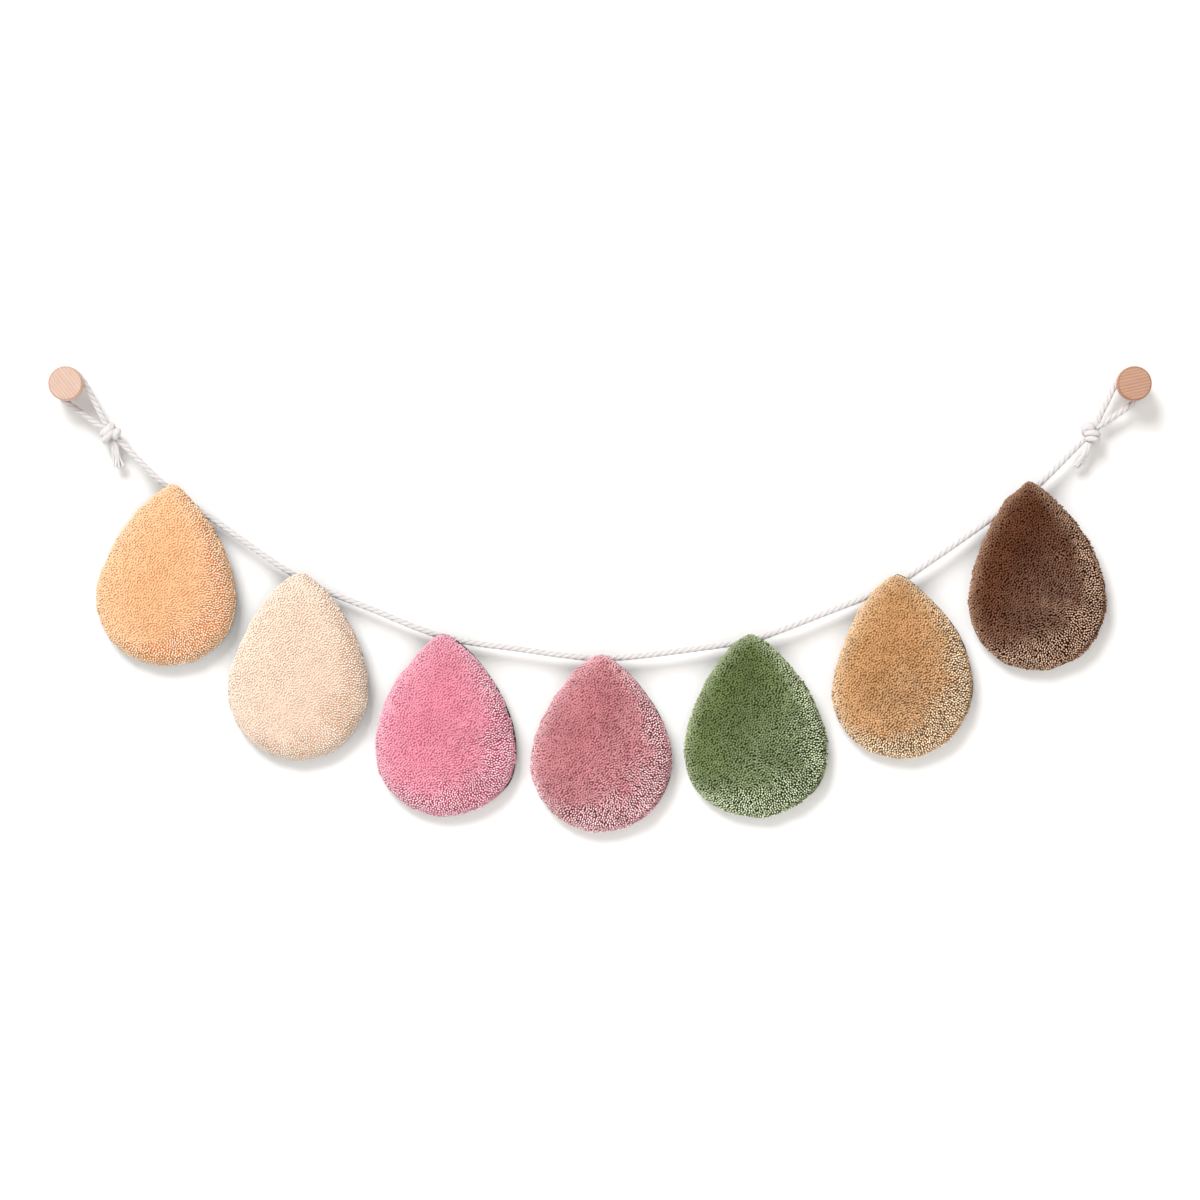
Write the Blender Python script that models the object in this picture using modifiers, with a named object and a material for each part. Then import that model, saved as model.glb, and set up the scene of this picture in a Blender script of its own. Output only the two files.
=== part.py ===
"""Raindrop garland: seven tufted raindrops on a twisted cotton rope, hung between two short wall pegs.

Metres, +Z up. The front faces -Y and the wall is the plane Y = 0. The origin is the centre of the left
peg's back face.
"""

import math

import bmesh
import bpy
from mathutils import Matrix, Vector, noise

MM = 0.001
GAP = 0.3 * MM
MERGE_DISTANCE = 0.01 * MM
# Steps to each stretch of a smooth route, and down each side of a raindrop, before points are spaced
ROUTE_STEPS = 24
OUTLINE_STEPS = 120

# Pegs: a turned disc head on a narrower stem
PEG_SPAN = 928 * MM
PEG_HEAD_RADIUS = 14.9 * MM
PEG_HEAD_THICKNESS = 9 * MM
PEG_STEM_RADIUS = 8 * MM
PEG_STEM_LENGTH = 14 * MM
PEG_EDGE_RADIUS = 1.2 * MM
PEG_EDGE_STEPS = 3
PEG_TURNING_STEPS = 32

# Rope: three strands, left-handed lay
ROPE_RADIUS = 2.7 * MM
ROPE_VALLEY = 0.74
ROPE_STRANDS = 3
ROPE_LAY = 19.6 * MM
STEPS_PER_LAY = 8
ROPE_OFF_WALL = 9.5 * MM

# Raindrops: a dark backing cloth, and a cut pile that stands on its front
DROP_TILT = math.radians(4.5)
BACKING_THICKNESS = 1.5 * MM
BACKING_INSET = 1.5 * MM
BACKING_POINTS = 40
PILE_DEPTH = 10 * MM
PILE_POINTS = 24
PILE_LUMP = 0.7 * MM
LUMP_SPACING = 26 * MM
# How much closer together an outline's points stand at the tip, and further apart at the foot
TIP_CROWDING = 0.45

# The outline narrows above the belly by these powers, from a half circle below it
SHOULDER_POWER = 1.6
TIP_POWER = 0.725

# Where along the drop, from the tip, each hand-cut unevenness is centred, and how far it spreads
NECK_AT, NECK_SPREAD = 0.10, 0.09
SHOULDER_AT, SHOULDER_SPREAD = 0.34, 0.16
FOOT_AT, FOOT_SPREAD = 0.86, 0.12

# One row for each raindrop, left to right. Lengths are in mm, the lean in degrees, bottom to the right.
DROP_COLUMNS = (
    "name tip_x tip_z lean length width neck_left neck_right shoulder_left shoulder_right"
    " foot_left foot_right rope_below_tip backing_right backing_up"
).split()
DROP_ROWS = (
    ("apricot", 93.5, -86.3, -4.2, 161.0, 123.8, -0.8, -3.2, -1.0, -0.2, 2.3, 1.9, 15.7, 0.0, 0.0),
    ("cream", 205.0, -162.9, -2.3, 166.8, 124.6, 3.4, 1.2, -0.6, 2.1, -1.1, -2.8, 10.6, 0.0, 0.0),
    ("pink", 326.6, -216.2, 1.5, 161.5, 123.5, -1.8, 1.0, 1.0, 1.0, 2.5, 5.3, 5.2, 1.5, 0.3),
    ("rose", 464.2, -234.2, 0.3, 157.2, 125.2, 1.2, 0.5, -0.4, 1.3, 0.3, 0.0, 4.4, 1.2, 0.3),
    ("green", 593.7, -216.2, 3.5, 162.6, 127.2, -1.5, -1.3, -1.2, -0.7, 4.4, 6.0, 6.6, 0.0, 0.0),
    ("caramel", 721.5, -164.6, 3.3, 163.2, 124.4, 1.6, -1.6, -1.3, 2.9, 1.5, -1.7, 14.1, 1.5, 0.6),
    ("brown", 836.5, -84.5, 4.8, 166.9, 122.2, 1.6, -1.0, 0.1, 1.3, 0.2, 0.1, 21.4, 0.0, 0.0),
)

# Each pile's colour, linear
PILE_COLOURS = {
    "apricot": (0.95, 0.50, 0.26),
    "cream": (0.96, 0.69, 0.53),
    "pink": (0.78, 0.27, 0.35),
    "rose": (0.55, 0.21, 0.23),
    "green": (0.17, 0.21, 0.09),
    "caramel": (0.54, 0.30, 0.14),
    "brown": (0.16, 0.08, 0.045),
}

# The pile's cage, back to shoulder: how far in from the outline each ring is, and how high, of the depth
PILE_RINGS = (
    ("back rim", 2.4 * MM, 0.0),
    ("side", -1.1 * MM, 0.40),
    ("shoulder", 2.8 * MM, 1.04),
)
# Inside them, a ring drawn in to this share of the shoulder's size, then the crown's middle. The middle
# is this share of the drop's length above the belly's centre.
CROWN_SIZE, CROWN_RING_HEIGHT = 0.56, 1.06
CROWN_MIDDLE, CROWN_MIDDLE_HEIGHT = 0.06, 1.10
CAGE_PASSES = 3

# Routes of the rope's centre line, each point (x, y, z) in mm
RUN_ROUTE = (
    (44.2, -9.5, -48.1),
    (60.8, -9.9, -64.8),
    (80.4, -10.9, -84.0),
    (104.0, -9.5, -102.1),
    (118.8, -8.7, -112.4),
    (150.2, -8.9, -134.6),
    (185.1, -10.2, -158.6),
    (211.2, -9.5, -173.6),
    (225.1, -9.0, -180.4),
    (263.5, -9.2, -195.5),
    (307.1, -9.9, -213.3),
    (333.2, -9.5, -221.6),
    (359.4, -9.2, -226.4),
    (394.3, -9.4, -230.9),
    (429.1, -9.6, -235.9),
    (464.0, -9.5, -238.9),
    (498.9, -9.6, -236.8),
    (533.7, -9.4, -232.5),
    (568.6, -9.2, -227.6),
    (596.5, -9.5, -222.9),
    (620.9, -9.9, -214.8),
    (655.8, -9.2, -201.3),
    (699.4, -9.1, -184.2),
    (722.9, -9.9, -173.9),
    (742.9, -10.2, -160.7),
    (777.8, -9.0, -136.7),
    (807.5, -8.6, -115.5),
    (835.4, -10.2, -96.5),
    (856.3, -10.0, -78.0),
    (885.3, -9.1, -48.7),
)
LEFT_LOOP_ROUTE = (
    (30.4, -9.5, -37.9),
    (25.5, -9.5, -34.8),
    (19.4, -9.5, -30.2),
    (10.7, -9.5, -23.9),
    (2.0, -9.5, -17.8),
    (-4.5, -9.5, -12.6),
    (-9.3, -9.5, -7.1),
    (-11.2, -9.5, -0.6),
    (-9.7, -9.5, 5.9),
    (-5.0, -9.5, 10.4),
    (1.1, -9.5, 11.5),
    (6.8, -9.5, 9.4),
    (11.1, -9.5, 6.0),
    (14.6, -9.5, 1.2),
    (18.1, -9.5, -5.1),
    (22.5, -9.5, -13.7),
    (27.0, -9.5, -22.4),
    (33.4, -9.5, -34.9),
)
RIGHT_LOOP_ROUTE = (
    (896.5, -9.5, -35.0),
    (902.0, -9.5, -22.8),
    (906.7, -9.5, -13.7),
    (910.6, -9.5, -5.4),
    (914.7, -9.5, 2.0),
    (918.6, -9.5, 7.0),
    (923.8, -9.5, 10.8),
    (929.9, -9.5, 11.4),
    (935.6, -9.5, 8.4),
    (939.1, -9.5, 2.9),
    (938.7, -9.5, -3.2),
    (935.6, -9.5, -8.9),
    (931.2, -9.5, -14.1),
    (926.0, -9.5, -18.7),
    (917.3, -9.5, -24.6),
    (908.6, -9.5, -30.1),
    (898.5, -9.5, -37.0),
)
LEFT_TAIL_ROUTE = (
    (40.3, -9.5, -50.2),
    (42.3, -9.0, -58.9),
    (44.5, -8.0, -65.9),
    (46.2, -6.8, -72.9),
)
RIGHT_TAIL_ROUTE = (
    (890.1, -10.6, -50.8),
    (887.3, -9.6, -58.9),
    (884.4, -8.0, -65.9),
    (881.8, -6.8, -72.4),
)
LEFT_TAIL_SPREAD = 2.0
RIGHT_TAIL_SPREAD = 1.6
TAIL_FLATTENING = 0.75

# Knots. Each turn of rope in one is an ellipse about its own centre, which is measured from the knot's.
# The reaches are the ellipse's two half axes. All are in mm.
LEFT_KNOT_CENTRE = (37.7, -9.5, -42.4)
RIGHT_KNOT_CENTRE = (891.6, -9.5, -42.0)
KNOT_COLUMNS = "turn centre one_reach other_reach cord_radius".split()
LEFT_KNOT_TURNS = (
    ("first_wrap", (-3.2, -0.2, 3.1), (4.1, 0.0, 3.9), (0.6, -4.7, -0.6), 2.9),
    ("second_wrap", (0.5, -0.3, -1.0), (4.6, 0.0, 4.3), (-0.4, -4.9, 0.4), 2.8),
    ("locking_turn", (4.9, -1.0, -1.1), (1.9, -0.4, 3.0), (0.5, -3.4, -0.2), 2.4),
)
RIGHT_KNOT_TURNS = (
    ("round_turn", (-2.6, -1.4, 2.7), (3.7, -0.6, -0.4), (0.3, -2.6, 3.5), 2.9),
    ("upper_band", (0.2, -0.4, -0.8), (5.2, 0.0, 0.3), (0.0, -4.9, 0.9), 2.5),
    ("lower_band", (0.8, -0.2, -5.6), (3.9, 0.0, -0.2), (0.0, -4.4, 0.5), 2.6),
)
# The core is an egg, its long axis turned to the rope's line
KNOT_CORE_REACH = (8.3, 5.6, 6.6)
LEFT_KNOT_TURN, RIGHT_KNOT_TURN = math.radians(45), math.radians(-45)
KNOT_TURN_POINTS = 16
KNOT_CORE_SEGMENTS = 12
KNOT_CORE_RINGS = 8
CORD_RESOLUTION = 2

ROPE_COLOUR = (0.87, 0.85, 0.84)
BACKING_COLOUR = (0.035, 0.036, 0.04)
LEFT_PEG_COLOUR = (0.86, 0.60, 0.47)
RIGHT_PEG_COLOUR = (0.60, 0.37, 0.25)


def clear_scene():
    for obj in list(bpy.data.objects):
        bpy.data.objects.remove(obj, do_unlink=True)


def new_collection(name):
    collection = bpy.data.collections.new(name)
    bpy.context.scene.collection.children.link(collection)
    return collection


def material(name, colour, roughness):
    made = bpy.data.materials.new(name)
    made.use_nodes = True
    shader = made.node_tree.nodes["Principled BSDF"]
    shader.inputs["Base Color"].default_value = (*colour, 1.0)
    shader.inputs["Roughness"].default_value = roughness
    shader.inputs["Metallic"].default_value = 0.0
    return made


def add_object(name, data, collection, look=None):
    obj = bpy.data.objects.new(name, data)
    collection.objects.link(obj)
    if look:
        data.materials.append(look)
    return obj


def mesh_from(name, points, faces):
    """A mesh from points and faces, its faces pointing out and shaded smooth."""
    shape = bmesh.new()
    corners = [shape.verts.new(point) for point in points]
    for face in faces:
        shape.faces.new([corners[index] for index in face])
    bmesh.ops.recalc_face_normals(shape, faces=shape.faces)
    mesh = bpy.data.meshes.new(name)
    shape.to_mesh(mesh)
    shape.free()
    mesh.shade_smooth()
    return mesh


def in_metres(points):
    return [Vector(point) * MM for point in points]


def smooth_route(controls, spacing):
    """Points evenly spaced along one smooth curve through the controls."""
    ends = [2 * controls[0] - controls[1], *controls, 2 * controls[-1] - controls[-2]]
    dense = []
    for before, start, end, after in zip(ends, ends[1:], ends[2:], ends[3:]):
        for step in range(ROUTE_STEPS):
            t = step / ROUTE_STEPS
            bend = (2 * before - 5 * start + 4 * end - after) * t * t
            twist = (3 * start - before - 3 * end + after) * t**3
            dense.append((2 * start + (end - before) * t + bend + twist) / 2)
    dense.append(controls[-1])
    length = sum((b - a).length for a, b in zip(dense, dense[1:]))
    return even_points(dense, max(2, round(length / spacing)))


def even_points(line, count, crowding=0.0):
    """The line's two ends with count evenly spaced steps between them, or closer at the ends."""
    lengths = [(b - a).length for a, b in zip(line, line[1:])]
    total = sum(lengths)
    points = [line[0]]
    index = 0
    passed = 0.0
    for number in range(1, count):
        share = number / count
        share -= crowding * math.sin(2 * math.pi * share) / (2 * math.pi)
        target = total * share
        while passed + lengths[index] < target:
            passed += lengths[index]
            index += 1
        points.append(line[index].lerp(line[index + 1], (target - passed) / lengths[index]))
    return points + [line[-1]]


def make_peg(name, x, collection, look):
    """A peg turned about its own axis: the profile runs from the front's centre to the back's."""
    length = PEG_STEM_LENGTH + PEG_HEAD_THICKNESS
    inner = PEG_HEAD_RADIUS - PEG_EDGE_RADIUS
    corners = (
        (inner, length - PEG_EDGE_RADIUS, 90),
        (inner, PEG_STEM_LENGTH + PEG_EDGE_RADIUS, 0),
    )
    profile = [Vector((0, 0, length))]
    for across, up, first_angle in corners:
        for step in range(PEG_EDGE_STEPS + 1):
            angle = math.radians(first_angle - 90 * step / PEG_EDGE_STEPS)
            turn = Vector((math.cos(angle), 0, math.sin(angle))) * PEG_EDGE_RADIUS
            profile.append(Vector((across, 0, up)) + turn)
    profile.append(Vector((PEG_STEM_RADIUS, 0, PEG_STEM_LENGTH)))
    profile.append(Vector((PEG_STEM_RADIUS, 0, 0)))
    profile.append(Vector((0, 0, 0)))
    mesh = bpy.data.meshes.new(name)
    mesh.from_pydata(profile, [(i, i + 1) for i in range(len(profile) - 1)], [])
    peg = add_object(name, mesh, collection, look)
    turning = peg.modifiers.new("turning", "SCREW")
    turning.axis = "Z"
    turning.steps = PEG_TURNING_STEPS
    turning.render_steps = PEG_TURNING_STEPS
    turning.use_merge_vertices = True
    turning.merge_threshold = MERGE_DISTANCE
    turning.use_smooth_shade = True
    peg.location = (x, 0, 0)
    peg.rotation_euler = (math.radians(90), 0, 0)
    return peg


def twisted_rope(name, route, collection, look, spread=1.0, depth=1.0):
    """Rope along a route, its section three ridges and three valleys that turn with the lay.

    Towards its far end the section grows to spread times its width, and depth times its depth.
    """
    line = smooth_route(route, ROPE_LAY / STEPS_PER_LAY)
    sides = 2 * ROPE_STRANDS
    points = []
    for index, centre in enumerate(line):
        along = (line[min(index + 1, len(line) - 1)] - line[max(index - 1, 0)]).normalized()
        across = along.cross(Vector((0, -1, 0))).normalized()
        out = across.cross(along)
        share = index / (len(line) - 1)
        wide = 1 + (spread - 1) * share
        deep = 1 + (depth - 1) * share
        turned = 2 * math.pi * index / STEPS_PER_LAY
        for side in range(sides):
            angle = turned + 2 * math.pi * side / sides
            radius = ROPE_RADIUS * (1.0 if side % 2 == 0 else ROPE_VALLEY)
            points.append(
                centre
                + across * math.cos(angle) * radius * wide
                + out * math.sin(angle) * radius * deep
            )
    faces = []
    for ring in range(len(line) - 1):
        low = ring * sides
        for side in range(sides):
            beside = (side + 1) % sides
            faces.append((low + side, low + beside, low + sides + beside, low + sides + side))
    last = (len(line) - 1) * sides
    faces.append(tuple(range(sides)))
    faces.append(tuple(range(last, last + sides)))
    return add_object(name, mesh_from(name, points, faces), collection, look)


def turn_of_rope(name, centre, one_reach, other_reach, cord_radius, collection):
    """One closed turn of round cord in a knot, as a mesh that a Boolean can join."""
    curve = bpy.data.curves.new(name, "CURVE")
    curve.dimensions = "3D"
    curve.bevel_depth = cord_radius
    curve.bevel_resolution = CORD_RESOLUTION
    spline = curve.splines.new("POLY")
    spline.points.add(KNOT_TURN_POINTS - 1)
    for number, point in enumerate(spline.points):
        angle = 2 * math.pi * number / KNOT_TURN_POINTS
        place = centre + one_reach * math.cos(angle) + other_reach * math.sin(angle)
        point.co = (*place, 1)
    spline.use_cyclic_u = True
    guide = bpy.data.objects.new(name + "_guide", curve)
    collection.objects.link(guide)
    bpy.context.view_layer.update()
    graph = bpy.context.evaluated_depsgraph_get()
    mesh = bpy.data.meshes.new_from_object(guide.evaluated_get(graph))
    shape = bmesh.new()
    shape.from_mesh(mesh)
    bmesh.ops.remove_doubles(shape, verts=shape.verts, dist=MERGE_DISTANCE)
    bmesh.ops.recalc_face_normals(shape, faces=shape.faces)
    shape.to_mesh(mesh)
    shape.free()
    mesh.shade_smooth()
    bpy.data.objects.remove(guide)
    turn = add_object(name, mesh, collection)
    turn.hide_render = True
    turn.display_type = "WIRE"
    return turn


def make_knot(name, centre, turns, turned, collection, helpers, look):
    """A knot: an egg-shaped core along the rope's line, with the turns that show joined to it."""
    shape = bmesh.new()
    bmesh.ops.create_uvsphere(
        shape, u_segments=KNOT_CORE_SEGMENTS, v_segments=KNOT_CORE_RINGS, radius=1.0
    )
    size = Matrix.Diagonal((*in_metres([KNOT_CORE_REACH])[0], 1))
    place = Matrix.Translation(centre) @ Matrix.Rotation(turned, 4, "Y") @ size
    bmesh.ops.transform(shape, matrix=place, verts=shape.verts)
    mesh = bpy.data.meshes.new(name)
    shape.to_mesh(mesh)
    shape.free()
    mesh.shade_smooth()
    knot = add_object(name, mesh, collection, look)
    for values in turns:
        row = dict(zip(KNOT_COLUMNS, values))
        middle, one, other = in_metres([row["centre"], row["one_reach"], row["other_reach"]])
        turn = turn_of_rope(
            f"{name}_{row['turn']}", centre + middle, one, other, row["cord_radius"] * MM, helpers
        )
        join = knot.modifiers.new(row["turn"], "BOOLEAN")
        join.operation = "UNION"
        join.solver = "EXACT"
        join.object = turn
    return knot


def swell(at, spread, share):
    """How much of an unevenness is felt at this share of the way down, none at the tip or the foot."""
    return math.exp(-(((share - at) / spread) ** 2)) * math.sqrt(max(0.0, 4 * share * (1 - share)))


def half_width(row, side, up):
    """Half the raindrop's width at a height above its belly's centre, on one side."""
    radius = row["width"] / 2
    reach = row["length"] - radius
    if up <= 0:
        width = math.sqrt(max(0.0, radius**2 - up**2))
    else:
        width = radius * max(0.0, 1 - (up / reach) ** SHOULDER_POWER) ** TIP_POWER
    share = min(1.0, max(0.0, (reach - up) / row["length"]))
    width += row["neck_" + side] * swell(NECK_AT, NECK_SPREAD, share)
    width += row["shoulder_" + side] * swell(SHOULDER_AT, SHOULDER_SPREAD, share)
    width += row["foot_" + side] * swell(FOOT_AT, FOOT_SPREAD, share)
    return max(0.0, width)


def raindrop_outline(row, count):
    """Points of a raindrop's outline in metres, from the tip round by the right."""
    radius = row["width"] / 2
    reach = row["length"] - radius
    sides = {}
    for side, sign in (("right", 1), ("left", -1)):
        sides[side] = []
        for step in range(OUTLINE_STEPS + 1):
            level = math.cos(math.pi * step / OUTLINE_STEPS)
            up = level * (reach if level > 0 else radius)
            sides[side].append(Vector((sign * half_width(row, side, up), up)) * MM)
    line = sides["right"] + sides["left"][-2::-1]
    return even_points(line, count, TIP_CROWDING)[:-1]


def moved_in(outline, distance):
    """The outline with each point moved in, square to the line between its neighbours."""
    moved = []
    for index, point in enumerate(outline):
        along = outline[(index + 1) % len(outline)] - outline[index - 1]
        inward = Vector((along.y, -along.x)).normalized()
        moved.append(point + inward * distance)
    return moved


def cage_round(outline):
    """The outline's points pushed out as far as one subdivision draws them in."""
    cage = outline
    for _ in range(CAGE_PASSES):
        drawn_in = [
            (cage[index - 1] + 6 * point + cage[(index + 1) % len(cage)]) / 8
            for index, point in enumerate(cage)
        ]
        cage = [point + want - got for point, want, got in zip(cage, outline, drawn_in)]
    return cage


def make_pile(name, row, parent, collection, look):
    """The cut pile: a crowned, lumpy slab, drawn as a coarse cage that a subdivision rounds."""
    outline = raindrop_outline(row, PILE_POINTS)
    base = BACKING_THICKNESS + 2 * GAP
    rings = [(cage_round(moved_in(outline, inset)), height) for _, inset, height in PILE_RINGS]
    shoulder = rings[-1][0]
    middle = Vector((0, CROWN_MIDDLE * row["length"] * MM))
    rings.append(([middle.lerp(point, CROWN_SIZE) for point in shoulder], CROWN_RING_HEIGHT))
    rings.append(([middle], CROWN_MIDDLE_HEIGHT))
    seed = Vector((row["tip_x"], 0, row["tip_z"]))
    points = []
    for ring, height in rings:
        for point in ring:
            place = Vector((point.x, 0, point.y))
            lump = noise.noise(place / LUMP_SPACING + seed) * PILE_LUMP if height > 0 else 0
            points.append(place - Vector((0, base + height * PILE_DEPTH + lump, 0)))
    faces = [tuple(range(PILE_POINTS))]
    for ring in range(len(rings) - 2):
        low = ring * PILE_POINTS
        high = low + PILE_POINTS
        for index in range(PILE_POINTS):
            beside = (index + 1) % PILE_POINTS
            faces.append((low + index, low + beside, high + beside, high + index))
    last = (len(rings) - 2) * PILE_POINTS
    for index in range(PILE_POINTS):
        faces.append((last + index, last + (index + 1) % PILE_POINTS, len(points) - 1))
    pile = add_object(name, mesh_from(name, points, faces), collection, look)
    rounding = pile.modifiers.new("rounding", "SUBSURF")
    rounding.levels = 1
    rounding.render_levels = 1
    pile.parent = parent
    return pile


def make_backing(name, row, parent, collection, look):
    """The backing cloth: the raindrop's flat outline, as thick as the cloth."""
    curve = bpy.data.curves.new(name, "CURVE")
    curve.dimensions = "2D"
    curve.fill_mode = "BOTH"
    curve.extrude = BACKING_THICKNESS / 2
    outline = moved_in(raindrop_outline(row, BACKING_POINTS), BACKING_INSET)
    spline = curve.splines.new("POLY")
    spline.points.add(len(outline) - 1)
    shift = Vector((row["backing_right"], row["backing_up"])) * MM
    for point, place in zip(spline.points, outline):
        point.co = (*(place + shift), 0, 1)
    spline.use_cyclic_u = True
    backing = add_object(name, curve, collection, look)
    backing.parent = parent
    backing.location = (0, -(GAP + BACKING_THICKNESS / 2), 0)
    backing.rotation_euler = (math.radians(90), 0, 0)
    return backing


def make_raindrop(row, collection, backing_look):
    """A raindrop leans in its own plane, and tips forward at the top, where the rope holds it off."""
    reach = (row["length"] - row["width"] / 2) * MM
    lean = math.radians(row["lean"])
    tip_z = row["tip_z"] * MM
    belly_z = tip_z - reach * math.cos(lean) * math.cos(DROP_TILT)
    crossing_z = tip_z - row["rope_below_tip"] * MM
    behind = ROPE_OFF_WALL + ROPE_RADIUS
    holder = add_object("drop_" + row["name"], None, collection)
    holder.rotation_mode = "YXZ"
    holder.rotation_euler = (DROP_TILT, -lean, 0)
    holder.location = (
        row["tip_x"] * MM + reach * math.sin(lean),
        (crossing_z - belly_z) * math.tan(DROP_TILT) - behind,
        belly_z,
    )
    look = material("pile " + row["name"], PILE_COLOURS[row["name"]], 0.95)
    make_backing("backing_" + row["name"], row, holder, collection, backing_look)
    make_pile("pile_" + row["name"], row, holder, collection, look)


def main():
    clear_scene()
    garland = new_collection("Raindrop garland")
    helpers = new_collection("Helpers")
    rope = material("cotton rope", ROPE_COLOUR, 0.9)
    backing = material("backing cloth", BACKING_COLOUR, 0.95)
    make_peg("peg_left", 0, garland, material("pale beech", LEFT_PEG_COLOUR, 0.6))
    make_peg("peg_right", PEG_SPAN, garland, material("brown beech", RIGHT_PEG_COLOUR, 0.6))
    for values in DROP_ROWS:
        make_raindrop(dict(zip(DROP_COLUMNS, values)), garland, backing)
    twisted_rope("rope_run", in_metres(RUN_ROUTE), garland, rope)
    twisted_rope("rope_loop_left", in_metres(LEFT_LOOP_ROUTE), garland, rope)
    twisted_rope("rope_loop_right", in_metres(RIGHT_LOOP_ROUTE), garland, rope)
    tails = (
        ("rope_tail_left", LEFT_TAIL_ROUTE, LEFT_TAIL_SPREAD),
        ("rope_tail_right", RIGHT_TAIL_ROUTE, RIGHT_TAIL_SPREAD),
    )
    for name, route, spread in tails:
        twisted_rope(name, in_metres(route), garland, rope, spread, TAIL_FLATTENING)
    knots = (
        ("knot_left", LEFT_KNOT_CENTRE, LEFT_KNOT_TURNS, LEFT_KNOT_TURN),
        ("knot_right", RIGHT_KNOT_CENTRE, RIGHT_KNOT_TURNS, RIGHT_KNOT_TURN),
    )
    for name, centre, turns, turned in knots:
        make_knot(name, in_metres([centre])[0], turns, turned, garland, helpers, rope)


if __name__ == "__main__":
    main()
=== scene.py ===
"""Dresses the raindrop garland: tufted piles, backings, twisted cotton rope, knots, pegs and the stage.

Metres, +Z up. The front faces -Y, the wall is the plane Y = 0, and the origin is the centre of the left
peg's back face. The sidebar's Garland panel lists the steps in their order.
"""

import math
import random

import bmesh
import bpy
from mathutils import Matrix, Vector, noise


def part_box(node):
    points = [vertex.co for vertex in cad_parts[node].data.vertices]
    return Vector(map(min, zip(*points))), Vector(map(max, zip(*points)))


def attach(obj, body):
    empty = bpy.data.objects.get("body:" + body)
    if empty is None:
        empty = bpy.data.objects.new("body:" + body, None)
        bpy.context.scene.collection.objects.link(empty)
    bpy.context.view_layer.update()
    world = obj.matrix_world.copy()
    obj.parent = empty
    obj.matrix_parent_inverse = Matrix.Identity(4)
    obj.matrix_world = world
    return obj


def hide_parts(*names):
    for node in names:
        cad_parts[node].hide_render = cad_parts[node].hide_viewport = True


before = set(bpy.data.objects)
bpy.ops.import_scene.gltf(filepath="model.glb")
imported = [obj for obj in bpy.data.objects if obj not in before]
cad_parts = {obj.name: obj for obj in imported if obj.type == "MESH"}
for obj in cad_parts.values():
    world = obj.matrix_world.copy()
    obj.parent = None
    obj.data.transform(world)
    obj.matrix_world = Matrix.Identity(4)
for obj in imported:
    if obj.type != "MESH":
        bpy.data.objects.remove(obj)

bl_info = {
    "name": "Raindrop garland",
    "version": (1, 0, 0),
    "blender": (4, 5, 0),
    "location": "View3D > Sidebar > Garland",
    "description": "Tufted raindrops on a twisted cotton rope between two wall pegs",
    "category": "Object",
}

MM = 0.001
FULL_TURN = 2 * math.pi
MERGE_DISTANCE = 0.01 * MM
TO_WALL = Vector((0, 1, 0))
TO_FRONT = Vector((0, -1, 0))
LEE_SIDE = Vector((0.72, 0, -0.69))
COLOURS = ("apricot", "cream", "pink", "rose", "green", "caramel", "brown")

# Routes of the rope's centre line, each point (x, y, z) in mm
RUN_ROUTE = (
    (44.2, -9.5, -48.1), (60.8, -9.9, -64.8), (80.4, -10.9, -84.0), (104.0, -9.5, -102.1),
    (118.8, -8.7, -112.4), (150.2, -8.9, -134.6), (185.1, -10.2, -158.6), (211.2, -9.5, -173.6),
    (225.1, -9.0, -180.4), (263.5, -9.2, -195.5), (307.1, -9.9, -213.3), (333.2, -9.5, -221.6),
    (359.4, -9.2, -226.4), (394.3, -9.4, -230.9), (429.1, -9.6, -235.9), (464.0, -9.5, -238.9),
    (498.9, -9.6, -236.8), (533.7, -9.4, -232.5), (568.6, -9.2, -227.6), (596.5, -9.5, -222.9),
    (620.9, -9.9, -214.8), (655.8, -9.2, -201.3), (699.4, -9.1, -184.2), (722.9, -9.9, -173.9),
    (742.9, -10.2, -160.7), (777.8, -9.0, -136.7), (807.5, -8.6, -115.5), (835.4, -10.2, -96.5),
    (856.3, -10.0, -78.0), (885.3, -9.1, -48.7),
)
LEFT_LOOP_ROUTE = (
    (30.4, -9.5, -37.9), (25.5, -9.5, -34.8), (19.4, -9.5, -30.2), (10.7, -9.5, -23.9),
    (2.0, -9.5, -17.8), (-4.5, -9.5, -12.6), (-9.3, -9.5, -7.1), (-11.2, -9.5, -0.6),
    (-9.7, -9.5, 5.9), (-5.0, -9.5, 10.4), (1.1, -9.5, 11.5), (6.8, -9.5, 9.4),
    (11.1, -9.5, 6.0), (14.6, -9.5, 1.2), (18.1, -9.5, -5.1), (22.5, -9.5, -13.7),
    (27.0, -9.5, -22.4), (33.4, -9.5, -34.9),
)
RIGHT_LOOP_ROUTE = (
    (896.5, -9.5, -35.0), (902.0, -9.5, -22.8), (906.7, -9.5, -13.7), (910.6, -9.5, -5.4),
    (914.7, -9.5, 2.0), (918.6, -9.5, 7.0), (923.8, -9.5, 10.8), (929.9, -9.5, 11.4),
    (935.6, -9.5, 8.4), (939.1, -9.5, 2.9), (938.7, -9.5, -3.2), (935.6, -9.5, -8.9),
    (931.2, -9.5, -14.1), (926.0, -9.5, -18.7), (917.3, -9.5, -24.6), (908.6, -9.5, -30.1),
    (898.5, -9.5, -37.0),
)
LEFT_TAIL_ROUTE = ((40.3, -9.5, -50.2), (42.3, -9.0, -58.9), (44.5, -8.0, -65.9), (46.2, -6.8, -72.9))
RIGHT_TAIL_ROUTE = ((890.1, -10.6, -50.8), (887.3, -9.6, -58.9), (884.4, -8.0, -65.9), (881.8, -6.8, -72.4))
CURVE_STEPS = 24

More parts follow.
